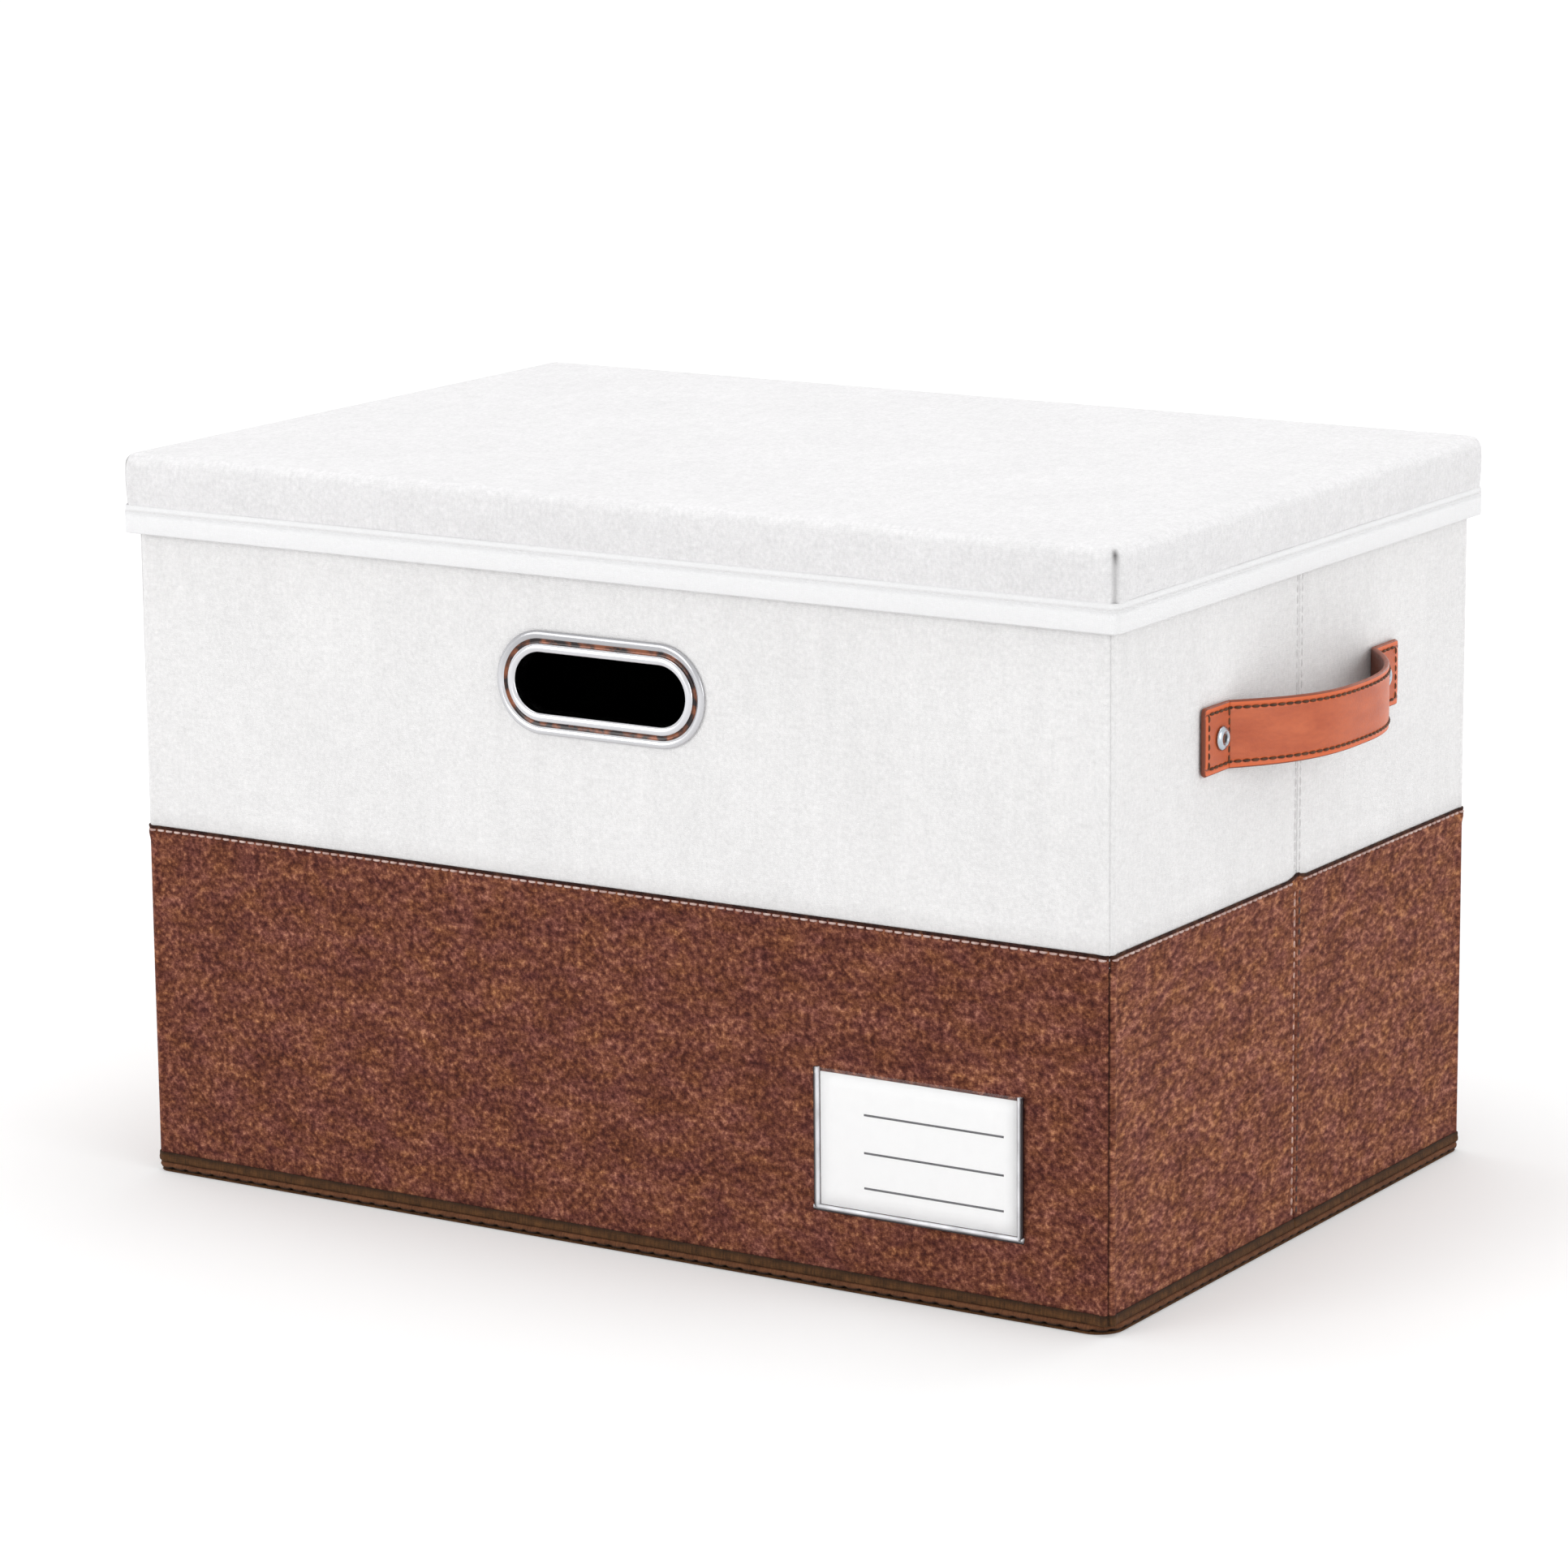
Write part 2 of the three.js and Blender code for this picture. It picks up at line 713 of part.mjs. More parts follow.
function lidLining() {
  const room = lidLiningInner;
  const reach = room + lidLiningThickness;
  const inner = roundedRectangle(halfLength + room, halfDepth + room, lidLiningThickness);
  const outer = roundedRectangle(halfLength + reach, halfDepth + reach, 2 * lidLiningThickness);
  const block = prism(outer, lidSkirtBottom, lidInnerTop + lidLiningThickness);
  return cut(block, prism(inner, lidSkirtBottom - cutOverrun, lidInnerTop));
}

function lidTopBoard() {
  const reach = lidBoardInner - layerGap;
  const outline = roundedRectangle(halfLength + reach, halfDepth + reach, lidCornerRadius);
  return prism(outline, lidBoardBottom, lidBoardTop);
}

function lidSkirtBoard(halfWidth, offset) {
  const outline = rectangle(-halfWidth, halfWidth, offset, offset + lidSkirtBoardThickness);
  return prism(outline, lidSkirtBottom, lidBoardBottom);
}

function lidSkirtBoards() {
  const frontHalf = halfLength + lidBoardInner - layerGap;
  const sideHalf = halfDepth + lidBoardInner;
  const long = () => lidSkirtBoard(frontHalf, halfDepth + lidBoardInner);
  const short = () => lidSkirtBoard(sideHalf, halfLength + lidBoardInner);
  return [
    named("lid_back_skirt_board", long(), "board"),
    named("lid_front_skirt_board", long().rotateZ(Math.PI), "board"),
    named("lid_left_skirt_board", short().rotateZ(Math.PI / 2), "board"),
    named("lid_right_skirt_board", short().rotateZ(-Math.PI / 2), "board"),
  ];
}

function lidTape() {
  const halfX = halfLength + lidTapeOuter;
  const halfY = halfDepth + lidTapeOuter;
  const radius = lidCornerRadius + lidTapeGap + lidTapeThickness;
  const band = frameOutline(halfX, halfY, radius, lidTapeThickness);
  const foot = frameOutline(halfX, halfY, radius, lidTapeOuter - lidLiningInner);
  return joined(
    prism(band, lidTapeBottom, lidTapeBottom + lidTapeWidth),
    prism(foot, lidTapeBottom, lidTapeBottom + lidTapeThickness),
  );
}

function lid() {
  const parts = [
    named("lid_cover", lidCover(), "whiteFabric"),
    named("lid_top_board", lidTopBoard(), "board"),
    ...lidSkirtBoards(),
    named("lid_lining", lidLining(), "lining"),
    named("lid_binding_tape", lidTape(), "whiteTape"),
  ];
  return placed(parts, 0, 0, 0);
}

const box = new THREE.Group();
box.add(
  named("base_cloth", baseCloth(), "binding"),
  named("base_edge_binding", baseEdgeBinding(), "binding"),
  bottomBoard(),
  backWall(),
  frontWall(),
  sideWall("right", halfLength, -Math.PI / 2, true),
  sideWall("left", -halfLength, Math.PI / 2, false),
  lid(),
);

export default box;
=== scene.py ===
import json
import math

import bpy
import numpy as np
from mathutils import Matrix, Vector, noise

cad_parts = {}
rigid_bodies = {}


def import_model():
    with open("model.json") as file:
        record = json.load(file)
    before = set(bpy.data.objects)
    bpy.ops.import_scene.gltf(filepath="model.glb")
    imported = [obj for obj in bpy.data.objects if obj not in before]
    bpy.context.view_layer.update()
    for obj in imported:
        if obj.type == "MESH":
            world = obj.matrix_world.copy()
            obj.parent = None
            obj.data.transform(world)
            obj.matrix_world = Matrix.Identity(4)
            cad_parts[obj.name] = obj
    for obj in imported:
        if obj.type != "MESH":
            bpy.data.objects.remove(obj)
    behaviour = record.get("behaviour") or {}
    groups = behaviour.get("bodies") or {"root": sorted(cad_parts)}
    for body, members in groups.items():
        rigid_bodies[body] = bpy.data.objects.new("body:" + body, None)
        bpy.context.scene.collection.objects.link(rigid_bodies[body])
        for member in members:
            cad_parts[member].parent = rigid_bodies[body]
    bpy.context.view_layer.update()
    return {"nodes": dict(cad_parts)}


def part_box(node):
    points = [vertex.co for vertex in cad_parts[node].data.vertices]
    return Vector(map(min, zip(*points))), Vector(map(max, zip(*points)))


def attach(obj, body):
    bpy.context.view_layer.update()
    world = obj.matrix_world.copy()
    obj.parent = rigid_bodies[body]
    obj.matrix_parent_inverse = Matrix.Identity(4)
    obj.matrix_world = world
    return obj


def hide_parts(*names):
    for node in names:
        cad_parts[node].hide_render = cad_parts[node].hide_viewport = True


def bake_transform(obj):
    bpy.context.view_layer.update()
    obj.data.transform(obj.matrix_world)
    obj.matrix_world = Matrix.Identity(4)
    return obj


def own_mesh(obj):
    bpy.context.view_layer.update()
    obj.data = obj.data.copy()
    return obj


for leftover in list(bpy.data.objects):
    bpy.data.objects.remove(leftover)

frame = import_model()

MM = 0.001
UP = np.array([0.0, 0.0, 1.0])
QUARTER = math.pi / 2


# Sizes read from the frame

BOXES = {node: np.array(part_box(node)) for node in frame["nodes"]}


def low(node):
    return BOXES[node][0]


def high(node):
    return BOXES[node][1]


HALF_X = high("front_upper_cover")[0]
HALF_Y = -low("front_upper_cover")[1]
RIM = high("front_upper_cover")[2]
LIP_Y = -high("front_upper_cover")[1]
WALL = HALF_Y - LIP_Y
TWO_TONE = high("front_lower_cover")[2]
WALL_BASE = low("front_bottom_binding")[2]
BINDING_TOP = WALL_BASE + 0.6 * (high("front_bottom_binding")[2] - WALL_BASE)
LINING_FACE = high("front_lining")[1]
FOLD_Y = high("right_rear_stiffener_board")[1]
SEAM_HALF = low("right_rear_upper_cover")[1]

# Cloth and wall details
EDGE_RADIUS = 2.5 * MM
SEAM_RADIUS = 0.8 * MM
CLOTH = 0.55 * MM
THIN_CLOTH = 0.35 * MM
HEM_PROUD = 0.6 * MM
HEM_HEIGHT = 7 * MM
HEM_PEAK = 1.6 * MM
RIM_FOLD = 12 * MM
RIM_RADIUS = 1.3 * MM
GROOVE_DEPTH = 0.9 * MM
SOFT_GROOVE = 0.12 * MM
RIDGE_PROUD = 0.5 * MM
TURN_IN = WALL + SEAM_RADIUS * (QUARTER - 1)

# Stitches: pitch, length and radius
WALL_STITCH = (4.2 * MM, 3.7 * MM, 0.5 * MM)
SEAM_STITCH = (4.2 * MM, 4.6 * MM, 0.42 * MM)
TAPE_STITCH = (3.6 * MM, 2.8 * MM, 0.17 * MM)
STRAP_STITCH = (3.6 * MM, 3.3 * MM, 0.55 * MM)
STITCH_DROP = 1.8 * MM
ROW_END = 0.8 * MM
SEAM_ROW_END = 3.2 * MM

# Steps between the points of a cloth, and how far the fine ones reach
STEP = 6 * MM
CORNER_SPAN = 9 * MM
SEAM_SPAN = 7 * MM
GRIP_SPAN = 60 * MM
GRIP_STEP = 2 * MM


# Meshes

def lengths(points, closed=False):
    """The way along a line of points up to each of them, and on to the first if closed."""
    points = np.asarray(points, float)
    if closed:
        points = np.vstack([points, points[:1]])
    return np.concatenate([[0], np.cumsum(np.linalg.norm(np.diff(points, axis=0), axis=1))])


def faced(about, points):
    """The points as an array, half a turn round the box if about says so."""
    return np.asarray(points, float) * (np.array([-1.0, -1.0, 1.0]) if about else 1.0)


def skin(grid, u, v, shade=None, ring=False, tube=False, drop=None, lids=(), plane=(0, 1)):
    """The points, faces, cloth places and shade of a surface over grid[i][j].
    Rows follow a path and columns climb; u and v are the cloth's places in metres.
    ring joins the last row to the first and tube the last column to the first, with end faces
    where there is no ring. lids are columns, 0 or -1, that one face closes, marked in a plane."""
    grid = np.asarray(grid, float)
    rows, cols = grid.shape[:2]
    u = np.broadcast_to(np.asarray(u, float).reshape(len(u), -1), (len(u), cols + tube))
    v = np.broadcast_to(np.asarray(v, float), (rows + ring, cols + tube))
    points = grid.reshape(-1, 3)
    faces, marks = [], []
    for i in range(rows - 1 + ring):
        for j in range(cols - 1 + tube):
            if drop and drop(i, j):
                continue
            ahead, above = (i + 1) % rows, (j + 1) % cols
            faces.append((i * cols + j, ahead * cols + j, ahead * cols + above, i * cols + above))
            marks.append([(u[p], v[p]) for p in ((i, j), (i + 1, j), (i + 1, j + 1), (i, j + 1))])
    index = np.arange(rows * cols).reshape(rows, cols)
    caps = [index[:, column][:: 1 if column else -1] for column in lids]
    if tube and not ring:
        caps += [index[0], index[-1][::-1]]
        plane = (0, 2)
    for cap in caps:
        faces.append(tuple(cap.tolist()))
        marks.append(points[cap][:, plane].tolist())
    shade = np.zeros(rows * cols) if shade is None else np.asarray(shade, float).ravel()
    return points, faces, marks, shade


def joined(surfaces):
    """Several surfaces as one."""
    points, faces, marks, shade = [], [], [], []
    base = 0
    for spots, corners, places, tones in surfaces:
        points.append(spots)
        faces += [tuple(base + c for c in face) for face in corners]
        marks += places
        shade.append(tones)
        base += len(spots)
    return np.concatenate(points), faces, marks, np.concatenate(shade)


def mesh_of(name, surface):
    """A smooth mesh of a surface, with its cloth coordinates and its shade."""
    points, faces, marks, shade = surface
    used = sorted({corner for face in faces for corner in face})
    order = {corner: k for k, corner in enumerate(used)}
    mesh = bpy.data.meshes.new(name)
    mesh.from_pydata(points[used].tolist(), [], [[order[c] for c in face] for face in faces])
    layer = mesh.uv_layers.new(name="cloth")
    layer.data.foreach_set("uv", np.array([mark for face in marks for mark in face], np.float32).ravel())
    attribute = mesh.attributes.new("shade", "FLOAT", "POINT")
    attribute.data.foreach_set("value", shade[used].astype(np.float32))
    mesh.polygons.foreach_set("use_smooth", [True] * len(mesh.polygons))
    mesh.update()
    return mesh


def put_in_scene(name, data):
    obj = bpy.data.objects.new(name, data)
    bpy.context.scene.collection.objects.link(obj)
    return obj


def piece(name, surface, finish, on, thick=0, node=None):
    """Puts a surface in the scene, on a body, or left unbent where it is for a (body, body, start, end).
    thick makes it a sheet, and node is the solid that it stands for."""
    obj = put_in_scene(name, mesh_of(name, surface))
    obj.data.materials.append(finish)
    if thick:
        shell = obj.modifiers.new("thickness", "SOLIDIFY")
        shell.thickness = thick
        shell.offset = -1
        shell.use_even_offset = False
    if isinstance(on, str):
        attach(obj, on)
    else:
        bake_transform(obj)
    if node:
        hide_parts(node)
    return obj


# Paths seen from above

class Path:
    """Straight legs (x0, y0, x1, y1) and round legs (x, y, radius, angle, angle) end to end."""

    def __init__(self, *legs):
        self.legs = legs
        self.ends = np.cumsum([self.size(leg) for leg in legs])
        self.length = float(self.ends[-1])

    @staticmethod
    def size(leg):
        return math.dist(leg[:2], leg[2:]) if len(leg) == 4 else leg[2] * abs(leg[4] - leg[3])

    def at(self, s):
        """The point at s and the way outwards there, as two arrays."""
        s = min(max(s, 0), self.length)
        k = min(int(np.searchsorted(self.ends, s)), len(self.legs) - 1)
        leg = self.legs[k]
        share = 1 - (self.ends[k] - s) / self.size(leg)
        if len(leg) == 4:
            start, end = np.array([*leg[:2], 0.0]), np.array([*leg[2:], 0.0])
            along = (end - start) / np.linalg.norm(end - start)
            return start + (end - start) * share, np.array([along[1], -along[0], 0.0])
        angle = leg[3] + (leg[4] - leg[3]) * share
        out = np.array([math.cos(angle), math.sin(angle), 0.0])
        return np.array([*leg[:2], 0.0]) + leg[2] * out, out

    def fine(self, end, span, step):
        """A stretch for spread at the path's start, 0, or end, 1."""
        start = (self.length - span) * end
        return start, start + span, step


def between(start, end, step):
    return np.linspace(start, end, max(2, round(abs(end - start) / step) + 1))


def spread(length, step, *fine):
    """Places from 0 to length a step apart, and closer within each fine (start, end, step)."""
    places = list(between(0, length, step))
    for start, end, small in fine:
        places = [s for s in places if not start - small / 2 < s < end + small / 2]
        places += list(between(start, end, small))
    return sorted(places)


def bell(x, width):
    return math.exp(-((x / width) ** 2))


def limited(x):
    return min(1.0, max(0.0, x))


def ripple(point, size, depth):
    """A gentle unevenness of cloth, the same on every run."""
    return depth * noise.noise(Vector([c / size for c in point]))


BEND_X = HALF_X - EDGE_RADIUS
BEND_Y = HALF_Y - EDGE_RADIUS
INNER_FACE = (HALF_X - WALL, -LIP_Y)

long_path = Path(
    (-BEND_X, -BEND_Y, EDGE_RADIUS, -1.5 * QUARTER, -QUARTER),
    (-BEND_X, -HALF_Y, BEND_X, -HALF_Y),
    (BEND_X, -BEND_Y, EDGE_RADIUS, -QUARTER, -0.5 * QUARTER),
)


def half_path(rear, corner_y):
    """The outer side of half a right wall: its edge turned in at the middle seam, face and corner."""
    turn = SEAM_HALF + SEAM_RADIUS
    wrap = HALF_X - SEAM_RADIUS
    legs = [
        (INNER_FACE[0], SEAM_HALF, wrap, SEAM_HALF),
        (wrap, turn, SEAM_RADIUS, -QUARTER, 0),
        (HALF_X, turn, HALF_X, min(corner_y, BEND_Y)),
    ]
    if corner_y > BEND_Y:
        legs.append((BEND_X, BEND_Y, EDGE_RADIUS, 0, QUARTER / 2))
    if rear:
        return Path(*legs)
    return Path(*[
        (leg[2], -leg[3], leg[0], -leg[1]) if len(leg) == 4 else (leg[0], -leg[1], leg[2], -leg[4], -leg[3])
        for leg in reversed(legs)
    ])


# Each long wall: the name's start, its body, and whether it is turned about.
# Each half wall: the name's start, its body, the body that its corner joins, rear, and turned about.
LONG_WALLS = (("front", "front_wall", False), ("back", "back_wall", True))
HALF_WALLS = (
    ("right_front", "right_front_half", "front_wall", False, False),
    ("right_rear", "right_rear_half", "back_wall", True, False),
    ("left_rear", "left_rear_half", "back_wall", False, True),
    ("left_front", "left_front_half", None, True, True),
)
SIDES = (("right", False), ("left", True))


def corner_bend(body, corner_body, rear, about):
    side = 1 if rear else -1
    start, end = faced(about, [[HALF_X, side * LIP_Y, 0.1], [HALF_X, side * FOLD_Y, 0.1]])
    return corner_body, body, tuple(start), tuple(end)


# Materials

def srgb(r, g, b):
    """A colour written as 0 to 255, as the linear values that nodes take."""
    return tuple((c / 255 / 12.92) if c <= 10 else ((c / 255 + 0.055) / 1.055) ** 2.4 for c in (r, g, b))


class Graph:
    """The nodes of a material or of the world, and short ways to add to them. Sizes are in mm."""

    def __init__(self, name, kind="materials"):
        self.owner = getattr(bpy.data, kind).new(name)
        self.owner.use_nodes = True
        self.tree = self.owner.node_tree

    def put(self, socket, value):
        if isinstance(value, bpy.types.NodeSocket):
            self.tree.links.new(value, socket)
        elif isinstance(value, tuple) and len(value) == 3 and len(socket.default_value) == 4:
            socket.default_value = (*value, 1)
        else:
            socket.default_value = value

    def add(self, kind, inputs=None, **settings):
        node = self.tree.nodes.new("ShaderNode" + kind)
        for key, value in settings.items():
            setattr(node, key, value)
        for key, value in (inputs or {}).items():
            self.put(node.inputs[key], value)
        return node

    def math(self, operation, *values):
        return self.add("Math", dict(enumerate(values)), operation=operation).outputs[0]

    def weighted(self, *pairs):
        """The sum of (value, weight) pairs."""
        total = 0.0
        for value, weight in pairs:
            total = self.math("MULTIPLY_ADD", value, weight, total)
        return total

    def wave(self, value, length):
        return self.math("SINE", self.math("MULTIPLY", value, 2 * math.pi / length))

    def scaled(self, place, sizes):
        scale = tuple(1 / (size * MM) for size in sizes)
        return self.add("VectorMath", {0: place, 1: scale}, operation="MULTIPLY").outputs[0]

    def cloth(self, across, along):
        """The cloth's own coordinates, counted in units of across and along."""
        return self.scaled(self.add("UVMap", uv_map="cloth").outputs[0], (across, along, 1))

    def cloth_parts(self, across, along):
        return self.add("SeparateXYZ", {0: self.cloth(across, along)}).outputs

    def noise(self, size, detail=2.0, roughness=0.5, distortion=0.0):
        """Clouds on the cloth, of a size (across, along), or in space, of one size."""
        if isinstance(size, tuple):
            place = self.cloth(*size)
        else:
            place = self.scaled(self.add("TexCoord").outputs["Object"], (size, size, size))
        inputs = {"Vector": place, "Scale": 1.0, "Detail": detail, "Roughness": roughness}
        return self.add("TexNoise", {**inputs, "Distortion": distortion}).outputs["Fac"]

    def range(self, value, low_in, high_in, low_out=0.0, high_out=1.0):
        inputs = dict(enumerate((value, low_in, high_in, low_out, high_out)))
        return self.add("MapRange", inputs).outputs[0]

    def ramp(self, value, start, end, colours, places=(0, 1)):
        """Colours at places from 0, where value is start, to 1, where it is end."""
        node = self.add("ValToRGB", {"Fac": self.range(value, start, end)})
        elements = node.color_ramp.elements
        while len(elements) < len(colours):
            elements.new(0.5)
        for element, place, colour in zip(elements, places, colours):
            element.position = place
            element.color = (*colour, 1)
        return node.outputs["Color"]

    def mix(self, factor, a, b, how="MIX"):
        node = self.add("Mix", data_type="RGBA", blend_type=how)
        for key, value in (("Factor", factor), (6, a), (7, b)):
            self.put(node.inputs[key], value)
        return node.outputs[2]

    def times(self, a, b):
        return self.mix(1.0, a, b, "MULTIPLY")

    def shade(self, start=0.0, end=1.0):
        """The shade painted on the mesh, from start to end."""
        value = self.add("Attribute", attribute_name="shade").outputs["Fac"]
        return value if (start, end) == (0.0, 1.0) else self.range(value, start, end)

    def weave(self, pitch):
        """The height of a plain weave: a low bump at each crossing of the threads."""
        wobble = self.math("MULTIPLY", self.noise((pitch * 3.1, pitch * 3.7)), 2.6)
        parts = self.cloth_parts(pitch, pitch)
        across, along = (self.wave(self.math("ADD", parts[k], wobble), 2) for k in (0, 1))
        return self.math("ABSOLUTE", self.math("MULTIPLY", across, along))

    def bump(self, height, distance):
        inputs = {"Height": height, "Distance": distance * MM, "Strength": 1.0}
        return self.add("Bump", inputs).outputs[0]

    def finish(self, colour, roughness, **others):
        shader = self.tree.nodes["Principled BSDF"]
        for key, value in {"Base_Color": colour, "Roughness": roughness, **others}.items():
            self.put(shader.inputs[key.replace("_", " ")], value)
        return self.owner


def white_cloth(name, tint, mottle=1.0, pitch=0.75, fold=srgb(96, 84, 84), streaks=0.22):
    """A plain weave with soft clouds and faint upright streaks; fold is the colour of the shade painted on
    it in creases, slits and edges.
    """
    g = Graph(name)
    threads = g.weave(pitch)
    slub = g.math("ADD", g.noise((1.3, 7)), g.noise((7, 1.3)))
    tone = g.weighted(
        (slub, 0.1),
        (g.noise((6, 8), 3.0, 0.6), 0.4 - 0.4 * streaks),
        (g.noise((1.6, 2.0), 3.0, 0.65), 0.85 - 0.6 * streaks),
        (g.noise((9, 75), 3.0, 0.6), streaks),
        (g.noise((45, 60)), 0.2),
    )
    tone = g.range(tone, 0.5, 1.06, 1.0 - 0.21 * mottle, 1.0 + 0.02 * mottle)
    tone = g.math("MULTIPLY", tone, g.range(threads, 0.0, 0.7, 0.965, 1.0))
    # Painted shade: the cloth turns towards fold where shade is painted on the mesh.
    colour = g.mix(g.shade(), g.times(tint, tone), fold)
    fine = g.bump(g.weighted((slub, 0.8), (threads, 1.0)), 0.09)
    return g.finish(colour, 0.86, Sheen_Weight=0.12, Sheen_Roughness=0.5, Normal=fine)


def brown_cloth(name, lift, across):
    """A flecked weave with a faint twill; across is how much wider than tall its flecks are, and lift makes
    it lighter, a painted sheen.
    """
    g = Graph(name)
    threads = g.weave(0.8)
    parts = g.cloth_parts(across, 1)
    twill = g.wave(g.weighted((parts[0], 1.0), (parts[1], 1.0), (g.noise((9, 9)), 3.0)), 2.6)
    fleck = g.noise((2.7 * across, 2.7), 3.0, 0.7)
    blotch = g.noise((24, 14), 3.0, 0.6)
    tint = g.noise((15, 9), 4.0, 0.65)
    tone = g.weighted((fleck, 1.0), (blotch, 0.3), (twill, 0.014))
    browns = (srgb(56, 24, 20), srgb(86, 44, 34), srgb(112, 64, 48), srgb(142, 88, 66), srgb(196, 136, 100))
    colour = g.ramp(tone, 0.41 - lift, 0.89 - lift, browns, (0.0, 0.3, 0.5, 0.7, 1.0))
    mauve = g.times(colour, (0.96, 0.93, 1.2))
    gold = g.times(colour, (1.03, 1.03, 0.86))
    colour = g.mix(g.range(tint, 0.36, 0.64), mauve, gold)
    colour = g.times(colour, g.range(threads, 0.0, 0.7, 0.84, 1.08))
    # Painted shade: the cloth turns near-black where shade is painted on the mesh.
    colour = g.mix(g.shade(), colour, srgb(22, 12, 12))
    fine = g.bump(g.weighted((threads, 0.7), (fleck, 0.9)), 0.14)
    return g.finish(colour, 0.95, Specular_IOR_Level=0.2, Normal=fine)


def plain_cloth(name, dark, light, pitch, sheen):
    g = Graph(name)
    threads = g.weave(pitch)
    slub = g.noise((0.7, 5))
    tone = g.weighted((g.noise((6, 4), 3.0), 0.5), (slub, 0.5))
    colour = g.times(g.ramp(tone, 0.35, 0.65, (dark, light)), g.range(threads, 0.0, 0.7, 0.88, 1.03))
    # Painted shade: the cloth turns near-black where shade is painted on the mesh, as under the piping.
    colour = g.mix(g.shade(), colour, srgb(20, 15, 12))
    fine = g.bump(g.math("ADD", threads, slub), 0.1)
    return g.finish(colour, 0.9, Specular_IOR_Level=0.25, Sheen_Weight=sheen, Normal=fine)


def thread(name, dark, light):
    """Twisted yarn, its plies slanting round it."""
    g = Graph(name)
    parts = g.cloth_parts(1, 1)
    twist = g.wave(g.math("ADD", parts[0], parts[1]), 0.5)
    colour = g.ramp(g.weighted((g.noise(3), 1.0), (twist, 0.12)), 0.3, 0.7, (dark, light))
    return g.finish(colour, 0.7, Normal=g.bump(twist, 0.05))


def leather(name):
    """Grained leather: shade 0.5 is its bright bevelled rim, and towards 1 its dyed cut edge, the painted
    shade in its stitch grooves and the painted shadow on its back.
    """
    g = Graph(name)
    pores = g.add("TexVoronoi", {"Vector": g.cloth(0.75, 0.75), "Scale": 1.0}).outputs["Distance"]
    crease = g.noise((3.5, 1.6), 3.0, 0.6, 0.5)
    tone = g.weighted((g.noise((22, 9), 3.0), 0.7), (crease, 0.3))
    colour = g.ramp(tone, 0.35, 0.65, (srgb(182, 82, 44), srgb(206, 104, 62)))
    colour = g.mix(g.shade(0.0, 0.5), colour, srgb(222, 104, 52))
    # Towards the dyed edge's colour, which also serves as painted shade in the grooves and painted shadow
    # on the back.
    colour = g.mix(g.shade(0.5, 1.0), colour, srgb(64, 26, 12))
    fine = g.bump(g.weighted((pores, 0.6), (crease, 1.0)), 0.07)
    rough = g.range(crease, 0.3, 0.7, 0.42, 0.56)
    return g.finish(colour, rough, Coat_Weight=0.08, Coat_Roughness=0.35, Normal=fine)


def metal(name, tint, roughness):
    """Polished metal; the shade painted on it makes it greyer and less of a mirror, and dark brown where it
    nears 1.
    """
    g = Graph(name)
    scratch = g.noise(1.2, 3.0, 0.6)
    rough = g.range(g.math("ADD", scratch, g.noise(14)), 0.7, 1.3, roughness * 0.8, roughness * 1.3)
    hollow_browns = g.ramp(g.noise(5, 3.0), 0.42, 0.62, (srgb(26, 10, 10), srgb(142, 80, 48)))
    colour = g.mix(g.shade(), tint, srgb(96, 96, 100))
    colour = g.mix(g.shade(0.5, 0.8), colour, hollow_browns)
    body = g.range(g.shade(), 0.0, 0.6, 1.0, 0.2)
    return g.finish(colour, rough, Metallic=body, Normal=g.bump(scratch, 0.01))


def cardboard(name):
    g = Graph(name)
    fibre = g.noise(1.4, 4.0, 0.7)
    tone = g.weighted((fibre, 0.6), (g.noise(26, 3.0), 0.4))
    colour = g.ramp(tone, 0.35, 0.65, (srgb(150, 124, 92), srgb(188, 164, 130)))
    return g.finish(colour, 0.95, Normal=g.bump(fibre, 0.05))


def paper(name):
    g = Graph(name)
    fibre = g.noise(0.6, 3.0, 0.6)
    colour = g.ramp(fibre, 0.3, 0.7, (srgb(252, 252, 252), srgb(254, 254, 254)))
    return g.finish(colour, 0.75, Normal=g.bump(fibre, 0.01))


def ink(name):
    g = Graph(name)
    return g.finish(g.ramp(g.noise(0.5), 0.3, 0.7, (srgb(62, 62, 66), srgb(100, 100, 104))), 0.8)


def film(name, opacity, tint):
    """Clear plastic with a faint haze, dark and opaque where shade is painted on it."""
    g = Graph(name)
    haze = g.noise(9, 3.0)
    seen = g.math("MAXIMUM", g.range(haze, 0.3, 0.7, opacity * 0.8, opacity * 1.25), g.shade())
    colour = g.mix(g.shade(), tint, srgb(34, 22, 26))
    return g.finish(colour, g.range(haze, 0.3, 0.7, 0.1, 0.22), Alpha=seen)


WHITE = white_cloth("white cloth", srgb(252, 251, 251))
# The lid's fold is darker, for the painted shade in its corner slits.
LID_WHITE = white_cloth("lid white cloth", srgb(249, 248, 249), fold=srgb(36, 30, 30), streaks=0.0)
TAPE_WHITE = white_cloth("white tape", srgb(253, 253, 254), 0.25, 0.6)
BROWN = brown_cloth("brown cloth", 0.0, 1.0)
# The short walls get a lighter copy, a painted sheen, with flecks drawn wider across.
SIDE_BROWN = brown_cloth("side brown cloth", 0.05, 1.6)
BINDING = plain_cloth("dark binding", srgb(62, 40, 22), srgb(106, 70, 40), 0.7, 0.0)
PIPING = plain_cloth("piping", srgb(84, 50, 32), srgb(126, 82, 54), 0.7, 0.0)
LINING = plain_cloth("lining cloth", srgb(38, 38, 41), srgb(54, 54, 58), 0.6, 0.08)
PALE_THREAD = thread("pale thread", srgb(184, 144, 134), srgb(232, 208, 200))
